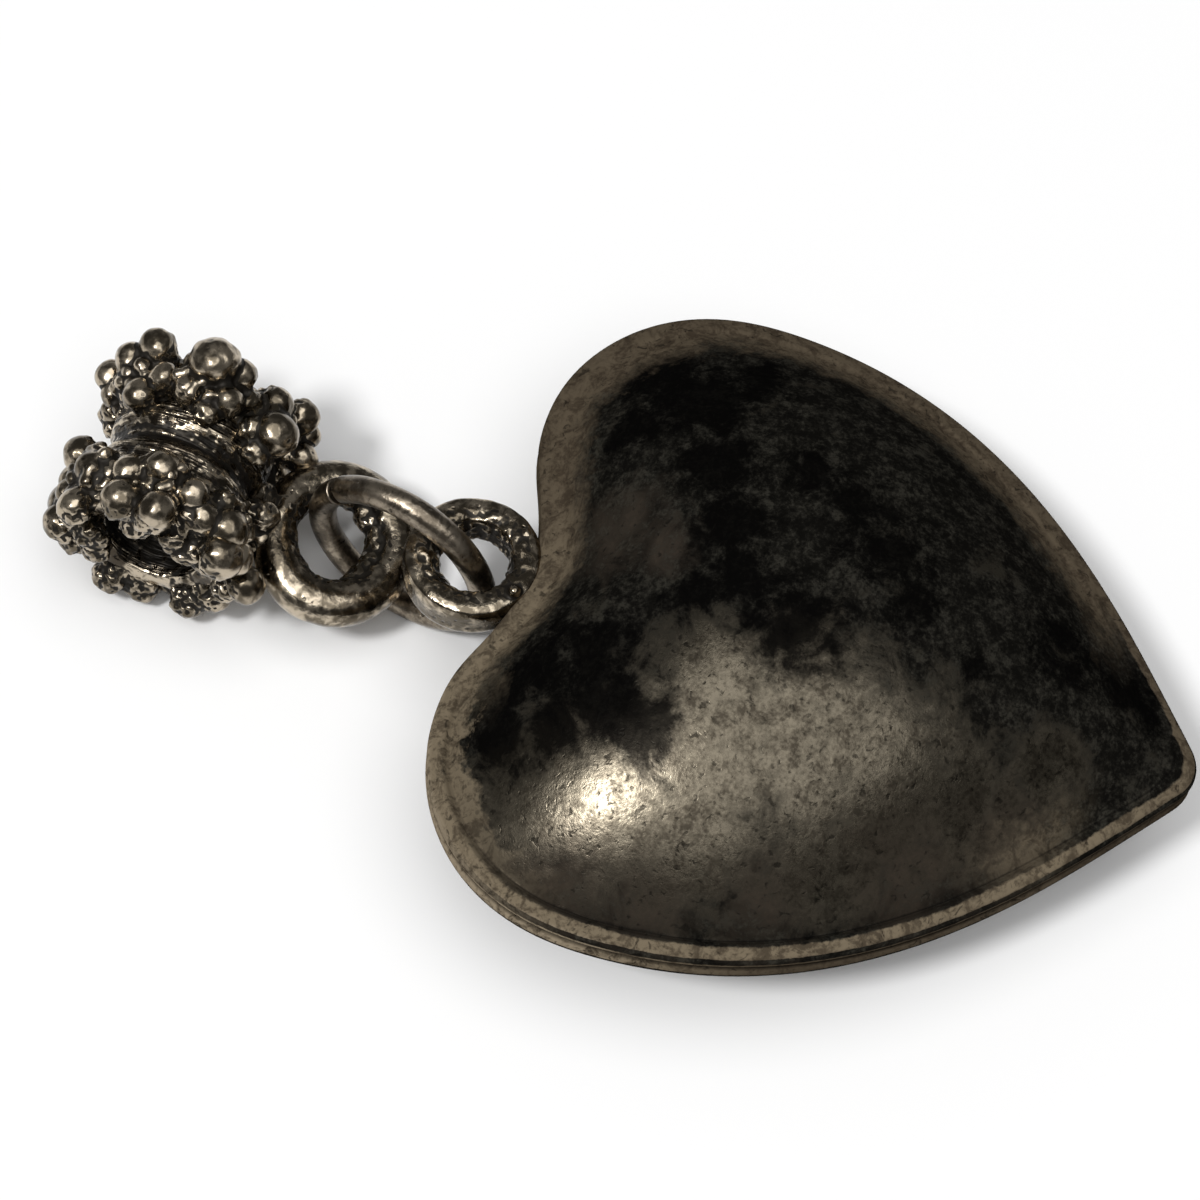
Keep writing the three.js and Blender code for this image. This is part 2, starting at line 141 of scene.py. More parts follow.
def add_object(name: str, data: bpy.types.ID) -> bpy.types.Object:
    """Adds an object to the scene.

    Args:
        name: The object's name.
        data: Its mesh, lamp or camera.

    Returns:
        The new object, at the origin.
    """
    made = bpy.data.objects.new(name, data)
    bpy.context.scene.collection.objects.link(made)
    return made


class Signal:
    """A value in a material's nodes, on which plain arithmetic adds Math nodes."""

    def __init__(self, bench: "Bench", socket: Socket) -> None:
        """Wraps one output socket of a bench's node."""
        self.bench = bench
        self.socket = socket

    def _math(
        self, operation: str, first: object, second: object = 0.0, clamp: bool = False
    ) -> "Signal":
        """Adds one Math node, whose result may be held between 0 and 1."""
        settings = {"operation": operation, "use_clamp": clamp}
        return self.bench.value("ShaderNodeMath", settings, {0: first, 1: second})

    def __add__(self, other: object) -> "Signal":
        """Adds a number or a signal."""
        return self._math("ADD", self, other)

    __radd__ = __add__

    def __sub__(self, other: object) -> "Signal":
        """Takes away a number or a signal."""
        return self._math("SUBTRACT", self, other)

    def __rsub__(self, other: object) -> "Signal":
        """Is taken away from a number."""
        return self._math("SUBTRACT", other, self)

    def __mul__(self, other: object) -> "Signal":
        """Multiplies by a number or a signal."""
        return self._math("MULTIPLY", self, other)

    __rmul__ = __mul__

    def __truediv__(self, other: object) -> "Signal":
        """Divides by a number or a signal."""
        return self._math("DIVIDE", self, other)

    def clamped(self) -> "Signal":
        """Holds the value between 0 and 1."""
        return self._math("ADD", self, 0.0, clamp=True)

    def magnitude(self) -> "Signal":
        """Drops the value's sign."""
        return self._math("ABSOLUTE", self)

    def smallest(self, other: object) -> "Signal":
        """Gives the smaller of this value and another."""
        return self._math("MINIMUM", self, other)

    def step(self, low: float, high: float) -> "Signal":
        """Rises smoothly from 0 at one value to 1 at another.

        Args:
            low: Where the result is 0.
            high: Where the result is 1. It may lie below low, and the result then falls.

        Returns:
            A value between 0 and 1.
        """
        settings = {"interpolation_type": "SMOOTHSTEP"}
        inputs = {0: self, 1: min(low, high), 2: max(low, high)}
        rising = self.bench.value("ShaderNodeMapRange", settings, inputs)
        return rising if low < high else 1 - rising


class Bench:
    """One material and the nodes that make it."""

    def __init__(self, name: str) -> None:
        """Starts an empty material that reads millimetres in the object's own coordinates.

        Args:
            name: The material's name.
        """
        self.material = bpy.data.materials.new(name)
        self.material.use_nodes = True
        self.tree = self.material.node_tree
        self.tree.nodes.clear()
        in_mm = {0: self.node("ShaderNodeTexCoord").outputs["Object"], "Scale": 1 / MM}
        self.place = self.node("ShaderNodeVectorMath", {"operation": "SCALE"}, in_mm).outputs[0]
        parts = self.node("ShaderNodeSeparateXYZ", None, {0: self.place})
        self.across, self.along, self.height = (Signal(self, part) for part in parts.outputs)

    def node(self, kind: str, settings: Settings = None, inputs: Inputs = None) -> bpy.types.Node:
        """Adds any node.

        Args:
            kind: Blender's type name of the node.
            settings: The node's own settings, set before its sockets.
            inputs: A number, colour, socket or signal for each socket, by name or place.

        Returns:
            The new node.
        """
        made = self.tree.nodes.new(kind)
        for name, value in (settings or {}).items():
            setattr(made, name, value)
        for key, value in (inputs or {}).items():
            if isinstance(value, Signal):
                value = value.socket
            if isinstance(value, Socket):
                self.tree.links.new(value, made.inputs[key])
            else:
                made.inputs[key].default_value = value
        return made

    def value(self, kind: str, settings: Settings, inputs: Inputs, output: int | str = 0) -> Signal:
        """Adds a node and gives one of its outputs."""
        return Signal(self, self.node(kind, settings, inputs).outputs[output])

    def noise(
        self,
        size: float,
        detail: float = 3.0,
        roughness: float = 0.55,
        distortion: float = 0.0,
        stretch: Triple = (1.0, 1.0, 1.0),
    ) -> Signal:
        """Adds noise whose grain has a size in millimetres.

        Args:
            size: Size of the largest grain.
            detail: How many finer octaves are added.
            roughness: How strong the finer octaves are.
            distortion: How far the grain is pulled about.
            stretch: How many times finer the grain is along each axis.

        Returns:
            A value around 0.5.
        """
        mapping = self.node("ShaderNodeMapping", None, {"Vector": self.place, "Scale": stretch})
        inputs = {
            "Vector": mapping.outputs[0],
            "Scale": 1 / size,
            "Detail": detail,
            "Roughness": roughness,
            "Distortion": distortion,
        }
        return self.value("ShaderNodeTexNoise", None, inputs)

    def pits(self, size: float, share: float) -> Signal:
        """Adds scattered ragged pits.

        Args:
            size: Spacing of the pits in millimetres.
            share: Radius of a pit as a share of the spacing.

        Returns:
            1 in the middle of a pit and 0 outside.
        """
        wander = self.noise(size * 0.7, 2.0)
        inputs = {"Vector": self.place, "Scale": 1 / size}
        near = self.value("ShaderNodeTexVoronoi", None, inputs)
        return (near + (wander - 0.5) * 0.6).step(share, 0.3 * share)

    def reach(self, patches: Patches) -> Signal:
        """Gives how far each point is from the nearest of some patches.

        Args:
            patches: The middle and the radius of each patch.

        Returns:
            The distance as a share of that patch's radius, 1 at its edge.
        """
        settings = {"operation": "DISTANCE"}
        nearest = None
        for middle, radius in patches:
            inputs = {0: self.place, 1: middle}
            away = self.value("ShaderNodeVectorMath", settings, inputs, "Value") / radius
            nearest = away if nearest is None else nearest.smallest(away)
        return nearest

    def reading(self, attribute: str) -> Signal:
        """Reads one of the mesh's attributes."""
        settings = {"attribute_type": "GEOMETRY", "attribute_name": attribute}
        return self.value("ShaderNodeAttribute", settings, None, "Fac")

    def colour(self, factor: object, first: object, second: object) -> Socket:
        """Mixes two colours.

        Args:
            factor: A number or a signal, 0 for the first colour and 1 for the second.
            first: A colour or a colour socket.
            second: A colour or a colour socket.

        Returns:
            The mixed colour's socket.
        """
        inputs = {"Factor": factor, 6: self._opaque(first), 7: self._opaque(second)}
        return self.node("ShaderNodeMix", {"data_type": "RGBA"}, inputs).outputs[2]

    def layers(self, tone: object, *layers: tuple[object, object]) -> Socket:
        """Lays colours over a first one, each as far as its own signal says.

        Args:
            tone: The first colour.
            *layers: Each colour's signal and the colour.

        Returns:
            The last colour's socket.
        """
        for factor, colour in layers:
            tone = self.colour(factor, tone, colour)
        return tone

    @staticmethod
    def _opaque(colour: object) -> object:
        """Adds full alpha to a plain colour and leaves a socket alone."""
        return (*colour, 1.0) if isinstance(colour, tuple) else colour

    def bump(self, height: Signal, distance: float) -> Socket:
        """Gives the normal of a relief from 0 to 1, whose 1 stands so many millimetres high."""
        inputs = {"Height": height, "Distance": distance * MM, "Strength": 1.0}
        return self.node("ShaderNodeBump", None, inputs).outputs[0]

    def dress(self, inputs: Inputs) -> Material:
        """Ends the material with its shader.

        Args:
            inputs: Values and links of the Principled shader's sockets.

        Returns:
            The finished material.
        """
        shader = self.node("ShaderNodeBsdfPrincipled", None, inputs)
        output = self.node("ShaderNodeOutputMaterial")
        self.tree.links.new(shader.outputs[0], output.inputs["Surface"])
        return self.material


@dataclass(frozen=True)
class Patch:
    """A patch of the heart's colours, patina with painted sheen and shade: its pixel in the
    photograph, and its radius in millimetres.
    """

    across_px: float
    down_px: float
    radius: float


# The blackest patches: partly black patina, partly painted shade where the sheen ends.
BLACK_PATCHES = (
    Patch(655, 372, 1.5), Patch(705, 400, 1.7), Patch(635, 425, 1.0), Patch(765, 378, 1.0),
    Patch(716, 465, 1.2), Patch(724, 525, 1.2), Patch(742, 575, 1.0), Patch(692, 592, 0.8),
    Patch(858, 505, 0.9), Patch(890, 553, 1.3), Patch(910, 598, 0.9), Patch(797, 626, 1.4),
    Patch(600, 700, 1.2), Patch(645, 728, 1.1), Patch(555, 722, 1.2), Patch(500, 742, 1.1),
    Patch(535, 672, 1.3), Patch(600, 650, 1.2), Patch(1130, 700, 1.1), Patch(1062, 650, 1.0),
    Patch(976, 668, 0.5), Patch(815, 470, 0.8),
)
# Patches worn back to the metal, which partly stand for painted sheen where light falls on the
# lower side.
WORN_AND_SHEEN_PATCHES = (
    Patch(545, 800, 1.7), Patch(620, 795, 2.2), Patch(715, 760, 2.6), Patch(815, 740, 2.6),
    Patch(690, 840, 2.0), Patch(890, 775, 2.3), Patch(715, 672, 1.4), Patch(965, 800, 1.6),
    Patch(830, 870, 1.5), Patch(1050, 765, 1.0),
)
# Brown patches: partly stains, partly painted shade where the sheen falls off on the lower side.
BROWN_PATCHES = (
    Patch(560, 520, 1.3), Patch(620, 530, 1.6), Patch(670, 548, 0.9), Patch(560, 880, 1.4),
    Patch(650, 912, 1.5), Patch(760, 905, 1.5), Patch(905, 870, 2.2), Patch(1000, 835, 1.6),
)


@dataclass(frozen=True)
class PatinaFinish:
    """Dark mottled patina over worn silver alloy, as on the heart, with painted sheen, shade and
    highlights laid into its colours.

    Each pair of numbers says where an effect starts and where it is full. A side is measured
    across the heart, a run along it, and a height up or down from the seam.
    """

    silver: Triple = (0.128, 0.111, 0.083)
    brown: Triple = (0.036, 0.0302, 0.0222)
    # Brown, partly stain and partly painted shade.
    stain_and_shade: Triple = (0.038, 0.0300, 0.0225)
    dark: Triple = (0.0058, 0.0054, 0.0046)
    speck: Triple = (0.038, 0.0355, 0.0285)
    black: Triple = (0.0024, 0.0022, 0.0021)
    border: Triple = (0.162, 0.130, 0.088)
    # The ridge's bright colour: partly wear, partly a painted highlight.
    ridge_wear_and_highlight: Triple = (0.270, 0.220, 0.155)
    border_shade: Triple = (0.036, 0.027, 0.0185)
    edge_tint: Triple = (0.14, 0.13, 0.11)
    front_height: Pair = (-0.2, 0.2)
    lower_side: Pair = (-2.0, -6.0)
    # Where the painted light on the rim's near side starts and is full.
    near_side: Pair = (4.0, -4.0)
    tip_run: Pair = (-14.6, -11.8)
    right_run: Pair = (4.0, -2.0)
    # Where the painted shade below the lower ridge starts and is full.
    shade_run: Pair = (-2.5, -7.5)
    ridge_run: Pair = (-5.0, -1.0)
    ridge_height: Pair = (0.6, 0.44)
    seam_height: Pair = (0.16, 0.05)
    relief: float = 0.015

    def material(self, blackest: Patches, bare_and_sheen: Patches, browned: Patches) -> Material:
        """Makes the patina's material.

        Args:
            blackest: Middles and radii of the blackest patches.
            bare_and_sheen: The same of the patches that are worn back to the metal, which partly
                stand for painted sheen.
            browned: The same of the patches of brown, partly a stain and partly painted shade.

        Returns:
            The material of both halves of the heart.
        """
        bench = Bench("patina")
        broad = bench.noise(1.5, 4.0, 0.65, 0.8) - 0.5
        ragged = bench.noise(0.36, 4.0, 0.72) - 0.5
        cloud = bench.noise(0.8, 6.0, 0.78, 0.3) - 0.5
        fine = bench.noise(0.11, 2.0, 0.6) - 0.5
        up = bench.height - SEAM_HEIGHT

        # The dome: mottled patina, worn back to the metal, stained brown or black in patches. The
        # bright worn patches are partly painted sheen, the brown ones partly painted shade where
        # that sheen falls off, and the black ones partly painted shade where it ends.
        front = up.step(*self.front_height)
        back_level = (bench.noise(4.5, 3.0, 0.55, 0.5) * 3.2 - 1.35).clamped() * (1 - front)
        # How far the dome is bright metal: partly wear, partly painted sheen.
        level = (1.28 - bench.reach(bare_and_sheen) * 0.72).clamped() * front + back_level
        level = (level + broad * 1.5 + cloud * 1.3).clamped()
        mottle = (cloud * 3.2 + ragged * 2.2 + fine * 1.6 + 0.44).clamped()
        low = bench.colour(mottle * mottle * 0.8, self.dark, self.speck)
        high = bench.colour(mottle * 0.95, self.silver, self.brown)
        worn_and_sheen = level.step(0.12, 1.0)
        # Brown over its patches: partly stain, partly painted shade where the sheen falls off.
        stained_and_shaded = (1.25 - bench.reach(browned) + broad * 2.0).clamped()
        stained_and_shaded = stained_and_shaded * (1 - mottle * 0.5)
        # The blackest patches: partly black patina, partly painted shade where the sheen ends.
        blackness = (bench.reach(blackest) + broad * 2.2 + cloud * 2.4).step(1.42, 0.5)
        flecks = bench.noise(0.22, 2.0, 0.55, 0.5).step(0.58, 0.72)
        dome = bench.layers(
            bench.colour(worn_and_sheen, low, high),
            (stained_and_shaded * front * 0.85, self.stain_and_shade),
            (blackness * 0.9, self.black),
            (flecks * 0.6, self.dark),
        )

        # The border: a lighter band, partly a worn edge and partly painted reflection, soft above
        # and crisp round the lower side, painted lighter on its near side and darker below its
        # ridge, and worn bright with a painted highlight on its ridge.
        half = up.magnitude()
        lower = bench.across.step(*self.lower_side)
        sharp = 1 - (1 - lower) * bench.along.step(*self.tip_run)
        lower_right = sharp * bench.along.step(*self.right_run)
        soft = 1 - (half + broad * 1.3 + ragged * 0.9 - 0.98) / 0.7
        left = (1 - (half + broad * 1.4 + ragged * 0.9 - 0.86) / 0.24).clamped()
        right = bench.reading(RIM_ATTRIBUTE) + (broad + ragged) * 0.4
        right = ((right - 0.46) / 0.12).clamped()
        crisp = left * (1 - lower_right) + right * lower_right
        edge = (soft.clamped() * (1 - sharp) + crisp * sharp).clamped()
        # Painted light: the rim is lighter on its near side.
        near = bench.across.step(*self.near_side)
        worn_rim = (bench.noise(0.5, 4.0, 0.68, 0.8) + fine * 0.3).step(0.34, 0.62)
        # Painted shade on the side wall below the ridge, towards the tip.
        below = half.step(*self.ridge_height) * sharp * bench.along.step(*self.shade_run)
        rim_wear_and_light = (worn_rim * (near * 0.5 + 0.34) + near * 0.2 + 0.03) * (1 - below * 0.75)
        # Painted highlight on the lower ridge of the near side, broken up by its wear.
        ridge_wear_and_highlight = half.step(*self.ridge_height) * lower * bench.along.step(*self.ridge_run)
        ridge_wear_and_highlight = ridge_wear_and_highlight * worn_rim * 0.9
        rim = bench.layers(self.border_shade, (rim_wear_and_light, self.border), (ridge_wear_and_highlight, self.ridge_wear_and_highlight))

        # Marks over all of it, painted shade in the groove on the lower side, and the dark along
        # the seam.
        scars = bench.noise(0.34, 2.0, 0.6, 1.2).step(0.6, 0.7) * edge
        # Painted shade in the groove at the dome's foot, on the lower side only.
        groove = bench.reading(HOLLOW_ATTRIBUTE).step(0.55, 1.0)
        groove = groove * (lower * 0.2 + lower_right * 0.6)
        lines = ((groove + half.step(*self.seam_height)) * 0.9).clamped()
        tone = bench.layers(dome, (edge, rim), (scars * 0.6, self.dark), (lines, self.black))
        relief = cloud * 0.8 + ragged * 0.25 + fine * 0.15 - flecks * 0.2 - scars * 0.4
        roughness = 0.27 + cloud * 0.5 + fine * 0.12 + blackness * 0.1 + edge * 0.14
        return bench.dress({
            "Base Color": tone,
            "Metallic": (worn_and_sheen * 0.75 + 0.25 - stained_and_shaded * 0.3 - edge * 0.6).clamped(),
            "Roughness": roughness.clamped(),
            "Specular IOR Level": 0.0,
            "Specular Tint": (*self.edge_tint, 1.0),
            "Normal": bench.bump(relief, self.relief),
        })


@dataclass(frozen=True)
class CastFinish:
    """Cast silver alloy: bright on its high points and dark in its hollows, with patina deepened by
    painted shade.
    """

    name: str
    bright: Triple = (0.52, 0.445, 0.340)
    dull: Triple = (0.125, 0.104, 0.075)
    dark: Triple = (0.008, 0.0066, 0.005)
    grain_size: float = 0.3
    relief: float = 0.04
    smoothest: float = 0.11
    lathe_marks: float = 0.0
    hollow: Pair = (0.46, 0.6)

    def material(self) -> Material:
        """Makes the cast metal's material.

        Returns:
            A material that reads how hollow the mesh is at each point.
        """
        bench = Bench(self.name)
        grain = bench.noise(self.grain_size, 4.0, 0.65, 0.4)
        fine = bench.noise(0.08, 2.0, 0.6)
        cloud = bench.noise(1.2, 3.0, 0.6)
        uneven = bench.reading(HOLLOW_ATTRIBUTE) + (grain - 0.5) * 0.34 + (cloud - 0.5) * 0.2
        # Darker in the hollows: patina, deepened with painted shade.
        grime_and_shade = uneven.step(*self.hollow)
        spots = bench.pits(size=0.4, share=0.14)
        polish = cloud + (grain - 0.5) * 0.7 - grime_and_shade * 0.2
        relief = grain * 0.5 + fine * 0.12 - spots * 0.4
        if self.lathe_marks:
            marks = bench.noise(0.17, 2.0, 0.6, stretch=(1.0, 0.12, 0.12)) - 0.5
            polish = polish + marks * (1.6 * self.lathe_marks)
            relief = relief + marks * (3.0 * self.lathe_marks)
        shade = (grime_and_shade + spots * 0.6).clamped() * 0.94
        tone = bench.layers(self.dull, (polish.step(0.4, 0.66), self.bright), (shade, self.dark))
        return bench.dress({
            "Base Color": tone,
            "Metallic": 1 - grime_and_shade * 0.4,
            "Roughness": (grain * 0.14 + grime_and_shade * 0.3 + self.smoothest).clamped(),
            "Specular IOR Level": 0.35,
            "Normal": bench.bump(relief, self.relief),
        })


@dataclass(frozen=True)
class WireFinish:
    """Drawn silver wire with a dull shine and faint marks of the pliers."""

    bright: Triple = (0.315, 0.268, 0.208)
    dull: Triple = (0.135, 0.112, 0.085)
    dark: Triple = (0.040, 0.033, 0.025)
    relief: float = 0.03

    def material(self) -> Material:
        """Makes the wire's material.

        Returns:
            A material of plain metal all over.
        """
        bench = Bench("drawn_wire")
        cloud = bench.noise(1.1, 4.0, 0.65, 0.3)
        grain = bench.noise(0.16, 3.0, 0.6, 0.2)
        marks = bench.pits(size=0.5, share=0.14)
        polish = (cloud + (grain - 0.5) * 0.5).step(0.38, 0.6)
        shade = (marks * 0.7 + cloud.step(0.42, 0.3) * 0.5).clamped()
        tone = bench.layers(self.dull, (polish, self.bright), (shade, self.dark))
        return bench.dress({
            "Base Color": tone,
            "Metallic": 1.0,
            "Roughness": (0.22 + grain * 0.16 + marks * 0.15).clamped(),
            "Normal": bench.bump(grain * 0.5 + cloud * 0.4 - marks * 0.5, self.relief),
        })


@dataclass(frozen=True)
class Piece:
    """What a finished mesh is called, moves with and stands for."""

    name: str
    body: Body
    slot: Slot
    stands_for: tuple[str, ...]

    def publish(self, mesh: Mesh, material: Material) -> bpy.types.Object:
        """Turns a mesh in millimetres into an object of the scene.

        Args:
            mesh: The finished mesh. It is freed.
            material: The material of the whole piece.

        Returns:
            The object, at the origin, riding on its body.
        """
        bmesh.ops.scale(mesh, vec=(MM, MM, MM), verts=mesh.verts)
        data = bpy.data.meshes.new(self.name)
        mesh.to_mesh(data)
        mesh.free()
        data.materials.append(material)
        for polygon in data.polygons:
            polygon.use_smooth = True
        made = add_object(self.name, data)
        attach(made, self.body.value)
        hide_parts(*self.stands_for)
        LOG.info("%s: %d faces on %s", self.name, len(data.polygons), self.body.value)
        return made


def node_copy(frame: dict, node: str) -> Mesh:
    """Copies a solid of the frame as a clean mesh in millimetres.

    Args:
        frame: The loaded frame.
        node: Name of the solid.

    Returns:
        The merged copy, with its triangles joined in pairs where they are flat enough.
    """
    mesh = bmesh.new()
    mesh.from_mesh(frame["nodes"][node].data)
    mesh.transform(frame["nodes"][node].matrix_world)
    bmesh.ops.scale(mesh, vec=(1 / MM, 1 / MM, 1 / MM), verts=mesh.verts)
    bmesh.ops.remove_doubles(mesh, verts=mesh.verts, dist=MERGE_DISTANCE)
    bmesh.ops.join_triangles(
        mesh,
        faces=mesh.faces,
        angle_face_threshold=math.radians(60),
        angle_shape_threshold=math.radians(70),
    )
    return mesh


def box_centre(*nodes: str) -> Vector:
    """Finds the middle of the box round some solids.

    Args:
        *nodes: Names of the solids.

    Returns:
        The middle, in millimetres.
    """
    boxes = [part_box(node) for node in nodes]
    low = Vector(min(box[0][axis] for box in boxes) for axis in range(3))
    high = Vector(max(box[1][axis] for box in boxes) for axis in range(3))
    return (low + high) / (2 * MM)


def rounded_band(inner: float, outer: float, half: float, edge: float) -> list[Pair]:
    """Draws the upper half of a band's outline, with rounded edges.

    Args:
        inner: Radius of its inner wall.
        outer: Radius of its outer wall.
        half: Half its height.
        edge: Size of the rounding.

    Returns:
        Radius and height of each corner, from the inner wall to the outer one.
    """
    cut = 0.3 * edge
    side = [(inner, half - edge), (inner + cut, half - cut), (inner + edge, half)]
    return side + [(outer - edge, half), (outer - cut, half - cut), (outer, half - edge)]


def mirrored(side: Sequence[Pair]) -> list[Pair]:
    """Closes an outline with its own mirror image below."""
    return [*side, *((radius, -height) for radius, height in reversed(side))]


@dataclass(frozen=True)
class InnerLumps:
    """Uneven lumps on the inner wall of a cast loop: the oval that they lie on, and its angles."""

    ring: Pair
    radius: float
    span: Pair
    count: int = 9


class Blank:
    """A piece of metal while it is worked, in millimetres."""

    def __init__(self) -> None:
        """Starts with no metal."""
        self.mesh = bmesh.new()

    def add_pebble(self, place: Matrix, radii: Triple) -> None:
        """Adds a closed pebble with its own radius along each axis of its place."""
        shaped = place @ Matrix.Diagonal((*radii, 1.0))
        bmesh.ops.create_icosphere(self.mesh, subdivisions=3, radius=1.0, matrix=shaped)

    def add_ball(self, centre: Vector, radius: float) -> None:
        """Adds a closed ball."""
        self.add_pebble(Matrix.Translation(centre), (radius, radius, radius))

    def add_lumps(self, lumps: InnerLumps, place: Matrix, tall: float) -> None:
        """Adds lumps along a loop's inner wall.

        Args:
            lumps: Their ring, radius and span.
            place: The loop's middle, with its axis along Z.
            tall: A lump's radius along that axis.
        """
        start, end = lumps.span
        for i in range(lumps.count):
            wander = wander_at(i * 3.1, start, 2.2)
            turn = math.radians(start + (end - start) * i / (lumps.count - 1) + 6 * wander.x)
            size = lumps.radius * (1 + 0.25 * wander.y)
            spot = (lumps.ring[0] * math.cos(turn), lumps.ring[1] * math.sin(turn), 0)
            self.add_pebble(place @ Matrix.Translation(spot), (size, size, tall))

    def spin(self, section: list, angle: float, steps: int, use_merge: bool) -> None:
        """Spins a section about Z, and merges its ends where it comes round whole."""
        turn = {"cent": (0, 0, 0), "axis": (0, 0, 1), "angle": angle, "steps": steps}
        bmesh.ops.spin(self.mesh, geom=section, use_merge=use_merge, **turn)

    def turn_whole(self, outline: Sequence[Pair], place: Matrix) -> None:
        """Turns a closed outline all the way round.

        Args:
            outline: Radius and height of each of its corners.
            place: Where the turning axis Z goes.
        """
        corners = [self.mesh.verts.new((radius, 0.0, height)) for radius, height in outline]
        pairs = zip(corners, corners[1:] + corners[:1])
        edges = [self.mesh.edges.new(pair) for pair in pairs]
        self.spin(corners + edges, 2 * math.pi, TURNED_STEPS, use_merge=True)
        bmesh.ops.remove_doubles(self.mesh, verts=self.mesh.verts, dist=MERGE_DISTANCE)
        bmesh.ops.transform(self.mesh, matrix=place, verts=self.mesh.verts)
        bmesh.ops.recalc_face_normals(self.mesh, faces=self.mesh.faces)

    def fuse(self, grain: float, smoothing: int) -> None:
        """Melts closed parts that overlap into one skin, as solder and casting do.

        Args:
            grain: Size of the new skin's faces.
            smoothing: How many times the skin is smoothed.
        """
        scratch = bpy.data.meshes.new("fusing")
        self.mesh.to_mesh(scratch)
        self.mesh.free()
        holder = add_object("fusing", scratch)
        remesh = holder.modifiers.new("skin", "REMESH")
        remesh.mode = "VOXEL"
        remesh.voxel_size = grain
        remesh.adaptivity = 0.0
        evaluated = holder.evaluated_get(bpy.context.evaluated_depsgraph_get())
        self.mesh = bmesh.new()
        self.mesh.from_mesh(evaluated.to_mesh())
        evaluated.to_mesh_clear()
        bpy.data.objects.remove(holder)
        bpy.data.meshes.remove(scratch)
        axes = {f"use_axis_{axis}": True for axis in "xyz"}
        for _ in range(smoothing):
            bmesh.ops.smooth_vert(self.mesh, verts=self.mesh.verts, factor=0.5, **axes)
        bmesh.ops.recalc_face_normals(self.mesh, faces=self.mesh.faces)

    def roughen(
        self, size: float, depth: float, seed: float, share: Share = lambda vert: 1.0
    ) -> None:
        """Gives the metal the unevenness of a casting.

        Args:
            size: Size of the lumps.
            depth: How far they stand in or out.
            seed: Where the noise is taken from.
            share: How much of the depth a vertex gets.
        """
        self.mesh.normal_update()
        shift = Vector((seed, 2 * seed, 3 * seed))
        moves = []
        for vert in self.mesh.verts:
            level = noise.fractal(vert.co / size + shift, 1.0, 2.0, 3)
            moves.append(vert.normal * depth * level * share(vert))
        for vert, move in zip(self.mesh.verts, moves):
            vert.co += move

    def mark_hollows(self, share: Share, extra: float) -> None:
        """Writes how hollow an even mesh is at each vertex, for the patina and the painted shade to
        settle in.

        Args:
            share: How much of the extra reading a vertex gets.
            extra: What is added where the patina and the painted shade deepen for another cause,
                such as in a hole or low down.
        """
        verts = self.mesh.verts
        self.mesh.normal_update()
        layer = verts.layers.float.new(HOLLOW_ATTRIBUTE)
        readings = []
        for vert in verts:
            steps = [edge.other_vert(vert).co - vert.co for edge in vert.link_edges]
            leans = [step.dot(vert.normal) / max(step.length_squared, 1e-9) for step in steps]
            readings.append(sum(leans) / max(len(leans), 1))
        verts.index_update()
        neighbours = [[edge.other_vert(vert).index for edge in vert.link_edges] for vert in verts]
        for _ in range(HOLLOW_SPREADS):
            readings = [
                0.5 * reading + 0.5 * sum(readings[i] for i in around) / max(len(around), 1)
                for reading, around in zip(readings, neighbours)
            ]
        for vert, reading in zip(verts, readings):
            vert[layer] = 0.5 + 0.25 * held(reading, -2.0, 2.0) + extra * share(vert)


@dataclass(frozen=True)
class PhotoCamera:
    """The camera of the photograph, found from the heart's outline.

    Its target is the middle of the view, in millimetres.
    """

    target: Triple = (0.016, 0.591, 4.264)
    azimuth: float = -81.6
    elevation: float = 60.0
    roll: float = 9.96
    distance: float = 94.2
    lens: float = 98.9
    clip: Pair = (0.005, 20.0)

    @cached_property
    def place(self) -> Matrix:
        """The camera's place in millimetres."""
        turn = turned_by(self.azimuth, "Z") @ turned_by(90 - self.elevation, "X")
        turn = turn @ turned_by(self.roll, "Z")
        return Matrix.Translation(self.target) @ turn @ Matrix.Translation((0, 0, self.distance))

    def ray(self, across: float, down: float) -> tuple[Vector, Vector]:
        """Gives the line of sight through a pixel of the photograph.

        Args:
            across: The pixel's distance from the left.
            down: The pixel's distance from the top.

        Returns:
            The camera's place and the unit direction, in millimetres.
        """
        focal = self.lens / SENSOR_WIDTH * PHOTO_SIZE
        sight = Vector((across - PHOTO_SIZE / 2, PHOTO_SIZE / 2 - down, -focal))
        return self.place.translation, (self.place.to_3x3() @ sight).normalized()

    def install(self) -> None:
        """Adds the camera to the scene."""
        data = bpy.data.cameras.new("photo_camera")
        data.lens = self.lens
        data.sensor_width = SENSOR_WIDTH
        data.clip_start, data.clip_end = self.clip
        holder = add_object("photo_camera", data)
        place = self.place.copy()
        place.translation *= MM
        holder.matrix_world = place
        bpy.context.scene.camera = holder


